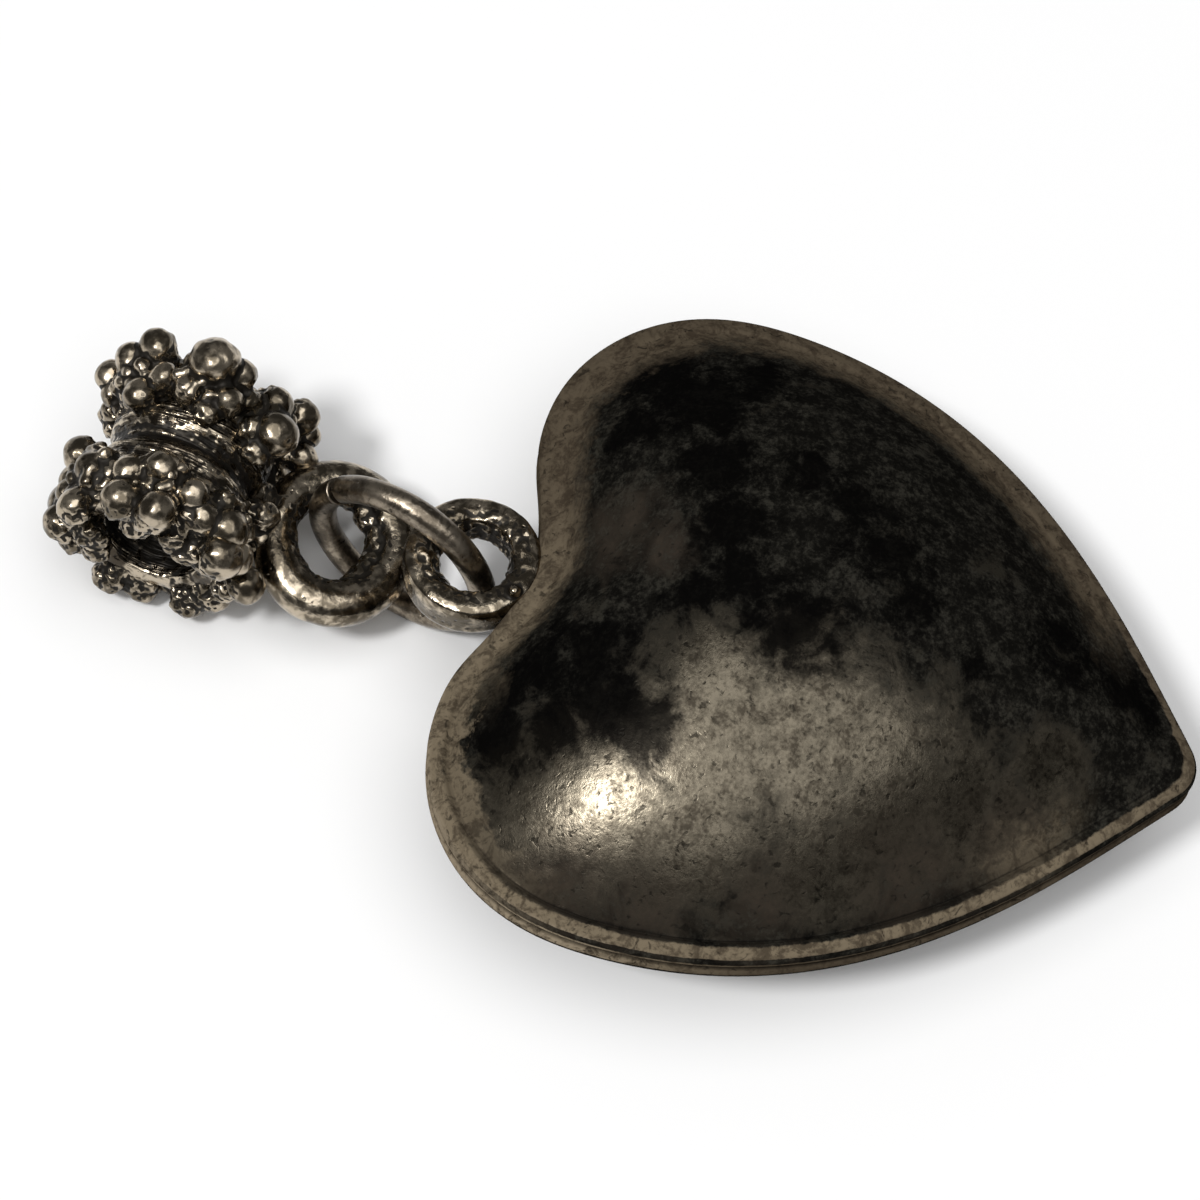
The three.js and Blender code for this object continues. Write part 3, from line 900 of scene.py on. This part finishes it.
@dataclass
class PuffedHeart:
    """The heart: two puffed halves with beaded rims, and the cast loop in the cleft."""

    frame: dict
    camera: PhotoCamera
    hub: Pair = (0.0, -4.79)
    rim_half: float = 0.62
    bead_cuts: int = 3
    bead_rise: float = 0.12
    bead_side: Pair = (-1.0, -5.5)
    groove_dip: float = 0.08
    groove_share: float = 0.05
    edge_dip: float = 0.05
    slope_rise: float = 0.16
    slope_dip: float = 0.06
    smoothness: int = 2
    loop_radius: float = 1.56
    loop_band: float = 0.88
    loop_edge: float = 0.24
    inset: float = 0.12
    lumps: InnerLumps = InnerLumps((1.2, 1.2), 0.28, (40.0, 150.0))
    shoulder: float = 1.15
    shoulder_count: int = 7
    shoulder_radii: Pair = (0.36, 0.42)
    solder: float = 1.35
    solder_count: int = 16
    grain: float = 0.045
    patina: PatinaFinish = PatinaFinish()
    cast: CastFinish = CastFinish("cast_loop")

    def build(self) -> None:
        """Builds the heart's pieces."""
        dome = BVHTree.FromBMesh(node_copy(self.frame, "heart_front_shell"))
        kinds = (BLACK_PATCHES, WORN_AND_SHEEN_PATCHES, BROWN_PATCHES)
        material = self.patina.material(*(self._cast_on(dome, patches) for patches in kinds))
        halves = {"heart_front_shell": "heart_front", "heart_back_shell": "heart_back"}
        for node, name in halves.items():
            piece = Piece(name, Body.HEART, Slot.PATINA, (node,))
            made = piece.publish(self._half(node), material)
            finer = made.modifiers.new("smooth", "SUBSURF")
            finer.levels = finer.render_levels = self.smoothness
        loop = Piece("heart_cast_loop", Body.HEART, Slot.CAST, ("heart_loop",))
        loop.publish(self._loop(), self.cast.material())

    def _cast_on(self, dome: BVHTree, patches: Sequence[Patch]) -> Patches:
        """Finds where the photograph's patches lie on the dome.

        Args:
            dome: The front half.
            patches: Patches by pixel.

        Returns:
            The middle and the radius of each patch that meets the dome.
        """
        found = []
        for patch in patches:
            hit = dome.ray_cast(*self.camera.ray(patch.across_px, patch.down_px))[0]
            if hit is not None:
                found.append((hit, patch.radius))
        return found

    def _half(self, node: str) -> Mesh:
        """Refines one half, whose flat flange gets a slope above and a bead below.

        Args:
            node: Name of the half's solid.

        Returns:
            The half's mesh in millimetres.
        """
        mesh = node_copy(self.frame, node)
        layers = mesh.verts.layers.float
        for attribute in (HOLLOW_ATTRIBUTE, RIM_ATTRIBUTE):
            layers.new(attribute)
        hollow, rim = layers[HOLLOW_ATTRIBUTE], layers[RIM_ATTRIBUTE]
        side = 1.0 if node == "heart_front_shell" else -1.0
        level = SEAM_HEIGHT + side * self.rim_half
        flat = {vert for vert in mesh.verts if abs(vert.co.z - level) < LEVEL_TOLERANCE}
        spokes = [edge for edge in mesh.edges if set(edge.verts) <= flat and self._is_spoke(edge)]
        ends = [
            sorted((vert.co.copy() for vert in edge.verts), key=self._from_hub) for edge in spokes
        ]
        tree = KDTree(len(ends))
        for i, (inner, outer) in enumerate(ends):
            tree.insert((inner + outer) / 2, i)
        tree.balance()
        bmesh.ops.subdivide_edges(mesh, edges=spokes, cuts=self.bead_cuts, use_grid_fill=True)
        for vert in [vert for vert in mesh.verts if abs(vert.co.z - level) < LEVEL_TOLERANCE]:
            inner, outer = ends[tree.find(vert.co)[1]]
            way = outer - inner
            share = held((vert.co - inner).dot(way) / way.length_squared)
            vert.co.z += side * self._flange_rise(share, vert.co.x)
            vert[hollow] = 1.0 if share < self.groove_share else 0.0
            vert[rim] = share
        side_half = self.rim_half - 2 * self.edge_dip - self.slope_dip
        for vert in mesh.verts:
            if abs(vert.co.z - SEAM_HEIGHT) < side_half:
                vert[rim] = 1.0
        return mesh

    def _flange_rise(self, share: float, across: float) -> float:
        """Gives how far the flange stands off its flat solid.

        Args:
            share: Place across the flange, 0 at the dome and 1 at the outer edge.
            across: Place across the heart, whose lower side has the bead.

        Returns:
            The rise in millimetres.
        """
        bead = self.bead_rise * math.sin(math.pi * share)
        bead -= self.groove_dip * max(0.0, 1 - 4 * share) + self.edge_dip * share ** 4
        slope = self.slope_rise * (1 - share) - self.slope_dip * share
        start, full = self.bead_side
        return slope + (bead - slope) * held((across - start) / (full - start))

    def _from_hub(self, spot: Vector) -> float:
        """Gives how far a point is from the middle of the heart's loft."""
        return math.hypot(spot.x - self.hub[0], spot.y - self.hub[1])

    def _is_spoke(self, edge: bmesh.types.BMEdge) -> bool:
        """Tells an edge that crosses the flange from one that runs along it."""
        first, second = (vert.co for vert in edge.verts)
        return abs(self._from_hub(first) - self._from_hub(second)) > 0.75 * edge.calc_length()

    @cached_property
    def loop_box(self) -> list[Vector]:
        """The low and the high corner of the loop's solid."""
        return [Vector(corner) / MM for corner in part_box("heart_loop")]

    @cached_property
    def loop_middle(self) -> Vector:
        """The middle of the loop's hole."""
        low, high = self.loop_box
        along = high.y - self.loop_radius - self.loop_band / 2
        return Vector(((low.x + high.x) / 2, along, (low.z + high.z) / 2))

    def _loop(self) -> Mesh:
        """Casts the loop with its rough solder in the cleft.

        Returns:
            The loop's mesh in millimetres.
        """
        low, high = self.loop_box
        across = (low.x + high.x) / 2
        middle = self.loop_middle
        place = Matrix.Translation(middle)
        tall = (high.z - low.z) / 2
        walls = (self.loop_radius - self.loop_band / 2, self.loop_radius + self.loop_band / 2)
        metal = Blank()
        metal.turn_whole(mirrored(rounded_band(*walls, tall, self.loop_edge)), place)
        for spread in spread_out(self.shoulder_count):
            along = low.y + 0.38 + 0.2 * spread ** 2
            spot = Vector((across + self.shoulder * spread, along, middle.z))
            radii = (*self.shoulder_radii, tall - self.inset)
            metal.add_pebble(Matrix.Translation(spot), radii)
        for i, spread in enumerate(spread_out(self.solder_count)):
            wander = wander_at(i * 1.9, 4.1, 0.7)
            along = low.y + 0.3 + 0.3 * spread ** 2 + 0.35 * wander.y
            height = middle.z + tall * (0.5 + 0.9 * wander.z)
            spot = Vector((across + self.solder * spread, along, height))
            metal.add_ball(spot, 0.15 + 0.1 * wander.x)
        metal.add_lumps(self.lumps, place, tall - self.inset)
        metal.fuse(self.grain, smoothing=3)
        metal.roughen(size=0.9, depth=0.03, seed=3.1)
        metal.roughen(size=0.34, depth=0.06, seed=8.2, share=self._innerness)
        # Patina and painted shade in the hollows, deepest in the loop's hole.
        metal.mark_hollows(self._innerness, extra=0.09)
        return metal.mesh

    def _innerness(self, vert: Vert) -> float:
        """Gives how near a vertex is to the loop's hole, 1 in it and 0 on the outer half."""
        away = math.hypot(vert.co.x - self.loop_middle.x, vert.co.y - self.loop_middle.y)
        return held((self.loop_radius + 0.12 - away) / 0.3)


@dataclass
class JumpRing:
    """The open ring of round wire that links the heart to its bail."""

    wire_radius: float = 0.41
    ring_radius: float = 2.71
    yaw: float = -12.8
    slit_angle: float = 38.0
    slit: float = 0.22
    end_bevel: float = 0.05
    steps: int = 120
    sides: int = 28
    finish: WireFinish = WireFinish()

    def build(self) -> None:
        """Builds the ring."""
        metal = Blank()
        mesh = metal.mesh
        gap = self.slit / self.ring_radius
        section = bmesh.ops.create_circle(
            mesh,
            cap_ends=False,
            segments=self.sides,
            radius=self.wire_radius,
            matrix=Matrix.Translation((self.ring_radius, 0, 0)) @ turned_by(90, "X"),
        )["verts"]
        whole = section + list(mesh.edges)
        metal.spin(whole, 2 * math.pi - gap, self.steps, use_merge=False)
        ends = [edge for edge in mesh.edges if edge.is_boundary]
        caps = bmesh.ops.holes_fill(mesh, edges=ends, sides=0)["faces"]
        capped = {edge for face in caps for edge in face.edges}
        bmesh.ops.bevel(
            mesh,
            geom=[edge for edge in mesh.edges if edge in capped],
            offset=self.end_bevel,
            offset_type="OFFSET",
            affect="EDGES",
            segments=3,
            profile=0.5,
            material=-1,
        )
        bmesh.ops.recalc_face_normals(mesh, faces=mesh.faces)
        place = Matrix.Translation(box_centre("jump_ring")) @ turned_by(self.yaw, "Z")
        place = place @ turned_by(90, "Y") @ turned_by(90, "Z")
        place = place @ Matrix.Rotation(math.radians(self.slit_angle) + gap / 2, 4, "Z")
        bmesh.ops.transform(mesh, matrix=place, verts=mesh.verts)
        metal.roughen(size=1.3, depth=0.012, seed=5.3)
        wire = Piece("jump_ring_wire", Body.JUMP_RING, Slot.WIRE, ("jump_ring",))
        wire.publish(mesh, self.finish.material())


class Perch(Enum):
    """Where on the sleeve a ball of the photograph sits."""

    ROUND = "round"
    MOUTH = "mouth"


@dataclass(frozen=True)
class Granule:
    """One ball that the photograph shows: its pixel, its radius in millimetres and its seat."""

    across_px: float
    down_px: float
    radius: float
    lift: float = 0.0
    perch: Perch = Perch.ROUND


def on_mouth(across_px: float, down_px: float, radius: float) -> Granule:
    """Describes a ball that sits round the sleeve's near end."""
    return Granule(across_px, down_px, radius, perch=Perch.MOUTH)


# The balls that the photograph shows, by the number of their cluster.
SEEN = {
    4: (
        Granule(106, 374, 0.44), Granule(132, 361, 0.50, 0.2), Granule(158, 347, 0.50, 0.1),
        Granule(164, 378, 0.38, 0.1), Granule(189, 391, 0.42), Granule(140, 396, 0.46),
        Granule(116, 396, 0.40, -0.1),
    ),
    5: (
        Granule(215, 363, 0.68, 0.15), Granule(240, 376, 0.46), Granule(228, 401, 0.44, 0.1),
        Granule(207, 412, 0.38, -0.1), Granule(250, 402, 0.36, -0.1),
    ),
    6: (
        Granule(276, 435, 0.62, 0.25), Granule(276, 405, 0.50), Granule(303, 415, 0.46, 0.1),
        Granule(320, 432, 0.38), Granule(303, 460, 0.44, 0.1), Granule(255, 452, 0.38),
        Granule(252, 428, 0.36),
    ),
    7: (Granule(201, 603, 0.62), on_mouth(226, 586, 0.42)),
    8: (Granule(124, 578, 0.52, -0.1), Granule(112, 556, 0.36, -0.1)),
    10: (
        Granule(81, 455, 0.50, -0.1), Granule(93, 469, 0.50), Granule(131, 472, 0.46),
        Granule(163, 469, 0.50), Granule(76, 507, 0.48, -0.1), Granule(157, 510, 0.52, 0.2),
        Granule(108, 528, 0.42), Granule(122, 500, 0.54), on_mouth(96, 545, 0.42),
        on_mouth(114, 540, 0.46), on_mouth(138, 522, 0.50),
    ),
    11: (
        Granule(193, 494, 0.42, 0.1), Granule(228, 530, 0.56, 0.2), on_mouth(187, 548, 0.50),
        Granule(205, 520, 0.44), on_mouth(172, 536, 0.46), on_mouth(209, 560, 0.44),
    ),
    12: (
        Granule(264, 517, 0.46, 0.1), Granule(263, 538, 0.50, 0.1), on_mouth(252, 560, 0.46),
        on_mouth(255, 587, 0.50),
    ),
}
HALF_SEEN = (7, 8)


@dataclass(frozen=True)
class Nest:
    """One cluster's place along and round the sleeve, its size and where its noise is taken."""

    along: float
    turn: float
    seed: float
    scale: float


@dataclass
class SleeveBail:
    """The bail: a thick sleeve with a groove, its cast loop, and two rows of granule clusters."""

    frame: dict
    camera: PhotoCamera
    roll: float = 13.0
    length: float = 5.2
    bore: float = 1.5
    band: float = 2.35
    groove_floor: float = 2.12
    groove_width: float = 0.9
    rim_round: float = 0.25
    loop_reach: float = 4.9
    loop_radius: float = 1.79
    loop_section: float = 1.28
    loop_sides: int = 20
    loop_oval: float = 1.12
    lumps: InnerLumps = InnerLumps((1.42, 1.27), 0.38, (225.0, 335.0))
    neck_width: float = 1.5
    neck_shares: tuple[float, ...] = (1.1, 0.92, 0.9, 1.05)
    grain: float = 0.05
    swell: float = 1.12
    proud: float = 0.3
    overhang: float = 0.3
    seat: float = 0.65
    pad: Triple = (0.92, 0.62, 1.0)
    crumbs: int = 22
    crumb_spread: Pair = (1.4, 0.7)
    crown: Pair = (0.58, 0.95)
    ring_balls: int = 6
    ring_ball: float = 0.47
    ring_reach: float = 0.82
    small_cluster: int = 3
    small_scale: float = 0.74
    cast: CastFinish = CastFinish("cast_bail")
    turned: CastFinish = CastFinish("turned_sleeve", dull=(0.060, 0.049, 0.036), lathe_marks=1.0)
    balls: CastFinish = CastFinish(
        "granules", (0.47, 0.40, 0.305), relief=0.012, smoothest=0.17, hollow=(0.45, 0.555)
    )

    @cached_property
    def place(self) -> Matrix:
        """The sleeve's middle and roll, with its axis along X and its loop towards -Y."""
        middle = box_centre("bail_sleeve", "bail_sleeve_underside")
        return Matrix.Translation(middle) @ turned_by(self.roll, "X")

    @cached_property
    def upright(self) -> Matrix:
        """What turns a place in the scene into one in the sleeve's own coordinates."""
        return self.place.inverted()

    @cached_property
    def loop_place(self) -> Matrix:
        """The middle of the bail's loop, with its axis along Z."""
        return self.place @ Matrix.Translation((0, -self.loop_reach, 0))

    def build(self) -> None:
        """Builds the bail's pieces."""
        balls = self.balls.material()
        halves = ("bail_sleeve", "bail_sleeve_underside")
        sleeve = Piece("sleeve_casting", Body.BAIL, Slot.CAST, halves)
        sleeve.publish(self._sleeve(), self.turned.material())
        loop = Piece("bail_cast_loop", Body.BAIL, Slot.CAST, ("bail_loop",))
        loop.publish(self._loop(), self.cast.material())
        nodes = self.frame["nodes"]
        for node in sorted(name for name in nodes if name.startswith("granule_cluster_")):
            name = node.replace("granule", "granules")
            cluster = Piece(name, Body.BAIL, Slot.GRANULE, (node,))
            cluster.publish(self._cluster(node), balls)

    def _sleeve(self) -> Mesh:
        """Turns the sleeve and gives it the unevenness of a casting.

        Returns:
            The sleeve's mesh in millimetres.
        """
        groove = self.groove_width / 2
        side = rounded_band(self.bore, self.band, self.length / 2, self.rim_round)
        side += [(self.band, groove), (self.groove_floor, groove / 3)]
        metal = Blank()
        metal.turn_whole(mirrored(side), self.place @ turned_by(90, "Y"))
        metal.fuse(self.grain, smoothing=3)
        metal.roughen(size=0.6, depth=0.05, seed=1.7)
        # Patina and painted shade in the hollows, deepest in the bore.
        metal.mark_hollows(self._in_bore, extra=0.1)
        return metal.mesh

    def _from_axis(self, spot: Vector) -> float:
        """Gives a point's distance from the sleeve's axis."""
        local = self.upright @ spot
        return math.hypot(local.y, local.z)

    def _in_bore(self, vert: Vert) -> float:
        """Gives 1 for a vertex on the wall of the bore and 0 for another."""
        return float(self._from_axis(vert.co) < self.bore + 0.1)

    def _loop(self) -> Mesh:
        """Casts the loop and its neck.

        Returns:
            The loop's mesh in millimetres.
        """
        metal = Blank()
        half = self.loop_section / 2
        turns = (2 * math.pi * i / self.loop_sides for i in range(self.loop_sides))
        section = [
            (self.loop_radius + half * math.cos(turn), half * math.sin(turn)) for turn in turns
        ]
        oval = Matrix.Diagonal((self.loop_oval, 1.0, 1.0, 1.0))
        metal.turn_whole(section, self.loop_place @ oval)
        metal.add_lumps(self.lumps, self.loop_place, self.lumps.radius)
        near = self.loop_reach - self.loop_radius
        for i, share in enumerate(self.neck_shares):
            reach = self.band - 0.1 + (near - self.band + 0.1) * i / (len(self.neck_shares) - 1)
            width = self.neck_width / 2 * share
            spot = Matrix.Translation((0, -reach, 0))
            metal.add_pebble(self.place @ spot, (width, 0.42, width * 0.95))
        metal.fuse(self.grain, smoothing=4)
        metal.roughen(size=1.1, depth=0.03, seed=7.9)
        metal.roughen(size=0.45, depth=0.08, seed=2.6, share=self._inwardness)
        # Patina and painted shade in the hollows, deepest on the loop's inner side.
        metal.mark_hollows(self._inwardness, extra=0.1)
        return metal.mesh

    def _inwardness(self, vert: Vert) -> float:
        """Gives how far a vertex faces the loop's middle, 0 to 1."""
        towards = (self.loop_place.translation - vert.co).normalized()
        return held((vert.normal.dot(towards) + 0.1) / 0.6)

    def _cluster(self, name: str) -> Mesh:
        """Builds one cluster of balls, melted together on their pad.

        Args:
            name: The solid that the cluster stands for.

        Returns:
            The cluster's mesh in millimetres.
        """
        centre = self.upright @ box_centre(name)
        number = int(name.rsplit("_", 1)[1])
        scale = self.small_scale if number == self.small_cluster else 1.0
        nest = Nest(centre.x, math.atan2(centre.z, centre.y), float(number), scale)
        metal = Blank()
        round_it = self.place @ Matrix.Rotation(nest.turn, 4, "X")
        pad = round_it @ Matrix.Translation((nest.along, self.band - 0.05, 0))
        pad_length, pad_height, pad_width = self.pad
        metal.add_pebble(pad, (pad_length * scale, pad_height, pad_width * scale))
        for granule in SEEN.get(number, ()):
            self._add_on_stem(metal, self._seat(granule), granule.radius)
        self._add_crumbs(metal, nest)
        if number not in SEEN or number in HALF_SEEN:
            self._add_plain_balls(metal, nest)
        metal.fuse(self.grain, smoothing=6)
        metal.roughen(size=0.9, depth=0.07, seed=nest.seed)
        metal.roughen(size=0.3, depth=0.1, seed=nest.seed + 3, share=self._lowness)
        # Patina and painted shade in the hollows, deepest low between the balls.
        metal.mark_hollows(self._lowness, extra=0.12)
        for vert in metal.mesh.verts:
            vert.co.z = max(vert.co.z, 0.0)
        return metal.mesh

    def _lowness(self, vert: Vert) -> float:
        """Gives how near a vertex is to the sleeve, 1 on it and 0 at the balls' height."""
        return held((self.band + 0.75 - self._from_axis(vert.co)) / 0.6)

    @staticmethod
    def _round(along: float, height: float, angle: float) -> Vector:
        """Gives a point by its height over the sleeve's axis and its angle round it."""
        return Vector((along, height * math.cos(angle), height * math.sin(angle)))

    def _add_on_stem(self, metal: Blank, spot: Vector, radius: float) -> None:
        """Adds a ball and the stem that joins it to the sleeve.

        Args:
            metal: The cluster that is being made.
            spot: The ball's middle, in the sleeve's own coordinates.
            radius: The ball's radius.
        """
        radius *= self.swell
        metal.add_ball(self.place @ spot, radius)
        limit = self.length / 2 - 0.3
        away = math.hypot(spot.y, spot.z)
        foot = Vector((held(spot.x, -limit, limit), spot.y, spot.z))
        foot.y *= self.band / away
        foot.z *= self.band / away
        for share in (0.35, 0.7, 1.0):
            metal.add_ball(self.place @ spot.lerp(foot, share), radius * (0.82 + 0.1 * share))

    def _add_crumbs(self, metal: Blank, nest: Nest) -> None:
        """Scatters crumbs of melted metal over a cluster's pad, between its balls.

        Args:
            metal: The cluster that is being made.
            nest: The cluster's place.
        """
        pad_length, pad_height, pad_width = self.pad
        spread_along, spread_round = self.crumb_spread
        for i in range(self.crumbs):
            wander = wander_at(nest.seed * 2.9, i * 1.7, 3.3)
            across, round_it = spread_along * wander.x, spread_round * wander.y
            rise = 1 - (across / pad_length) ** 2 - (round_it * self.band / pad_width) ** 2
            height = self.band + pad_height * math.sqrt(max(rise, 0.0))
            along = held(abs(nest.along + across), 0.6, self.length / 2 - 0.2)
            spot = self._round(math.copysign(along, nest.along), height, nest.turn + round_it)
            metal.add_ball(self.place @ spot, 0.2 + 0.12 * wander.z)

    def _add_plain_balls(self, metal: Blank, nest: Nest) -> None:
        """Adds a crown and a ring of balls, each a little off its even place.

        Args:
            metal: The cluster that is being made.
            nest: The cluster's place.
        """
        for i in range(1 + self.ring_balls):
            wander = wander_at(nest.seed * 1.7, i * 2.3, 0.5)
            size, seat = (self.ring_ball, self.seat) if i else self.crown
            reach = self.ring_reach * nest.scale if i else 0.0
            radius = size * (1 + 0.22 * wander.z) * nest.scale
            spin = nest.seed + 2 * math.pi * i / self.ring_balls
            along = nest.along + reach * math.cos(spin) + 0.12 * wander.x
            angle = nest.turn + (reach * math.sin(spin) + 0.12 * wander.y) / self.band
            spot = self._round(along, self.band + radius * seat, angle)
            self._add_on_stem(metal, spot, radius)

    def _seat(self, granule: Granule) -> Vector:
        """Finds where the line of sight through a ball's pixel meets its seat on the sleeve.

        Args:
            granule: The ball.

        Returns:
            The ball's middle, in the sleeve's own coordinates.
        """
        eye, sight = self.camera.ray(granule.across_px, granule.down_px)
        eye = self.upright @ eye
        sight = self.upright.to_3x3() @ sight
        radius = self.band + self.seat * granule.radius + granule.lift
        if granule.perch is Perch.MOUTH:
            mouth = -self.length / 2 - self.proud * granule.radius
            spot = eye + sight * ((mouth - eye.x) / sight.x)
        else:
            a = sight.y ** 2 + sight.z ** 2
            b = eye.y * sight.y + eye.z * sight.z
            c = eye.y ** 2 + eye.z ** 2 - radius ** 2
            spot = eye + sight * ((-b - math.sqrt(max(b * b - a * c, 0.0))) / a)
        limit = self.length / 2 + self.overhang
        away = math.hypot(spot.y, spot.z)
        share = held(away, self.bore + 0.4 * granule.radius, radius + 0.35) / away
        return Vector((held(spot.x, -limit, limit), spot.y * share, spot.z * share))


@dataclass(frozen=True)
class SoftLamp:
    """One round studio lamp that faces the charm.

    Its size and distance are in millimetres, and its level is the light that it puts on the
    floor, as a share of what shows a white floor as white.
    """

    name: str
    towards: Triple
    width: float
    level: float
    distance: float = 1500.0

    def install(self) -> None:
        """Adds the lamp to the scene."""
        data = bpy.data.lights.new(self.name, "AREA")
        data.shape = "DISK"
        data.size = self.width * MM
        heading = Vector(self.towards).normalized()
        spread = (self.distance * MM) ** 2 + (self.width / 2 * MM) ** 2
        data.energy = self.level * math.pi ** 2 * spread / heading.z
        holder = add_object(self.name, data)
        holder.location = heading * self.distance * MM
        holder.rotation_euler = (-heading).to_track_quat("-Z", "Y").to_euler()


@dataclass
class Studio:
    """A plain pale floor under two soft lamps and a dim even world."""

    floor_size: float = 8000.0
    floor_colour: Triple = (0.93, 0.93, 0.93)
    floor_shade: Triple = (0.9, 0.9, 0.9)
    world_level: float = 0.14
    lamps: tuple[SoftLamp, ...] = (
        SoftLamp("key", (-0.44, 0.32, 0.84), 260.0, 0.45),
        SoftLamp("broad", (-0.22, -0.08, 0.97), 1800.0, 0.5),
    )

    def build(self) -> None:
        """Builds the floor, the lamps and the world."""
        mesh = bmesh.new()
        radius = self.floor_size / 2 * MM
        bmesh.ops.create_circle(mesh, cap_ends=True, segments=96, radius=radius)
        data = bpy.data.meshes.new("floor")
        mesh.to_mesh(data)
        mesh.free()
        bench = Bench("pale_floor")
        tone = bench.colour(bench.noise(40.0, 2.0) * 0.02, self.floor_colour, self.floor_shade)
        finish = {"Base Color": tone, "Roughness": 0.9, "Specular IOR Level": 0.0}
        data.materials.append(bench.dress(finish))
        add_object("floor", data)
        for lamp in self.lamps:
            lamp.install()
        world = bpy.data.worlds.new("even_world")
        world.use_nodes = True
        background = world.node_tree.nodes["Background"]
        background.inputs["Color"].default_value = (1.0, 1.0, 1.0, 1.0)
        background.inputs["Strength"].default_value = self.world_level
        bpy.context.scene.world = world
        bpy.context.scene.view_settings.view_transform = "Standard"


def corners(bounds: Iterable[Iterable[float]]) -> list[list[float]]:
    """Turns a box's corners into plain lists of numbers."""
    return [[float(value) for value in corner] for corner in bounds]


def main() -> None:
    """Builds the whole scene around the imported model."""
    logging.basicConfig(level=logging.INFO, format="%(name)s %(message)s")
    noise.seed_set(NOISE_SEED)
    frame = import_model()
    camera = PhotoCamera()
    camera.install()
    Studio().build()
    PuffedHeart(frame, camera).build()
    JumpRing().build()
    SleeveBail(frame, camera).build()


if __name__ == "__main__":
    main()
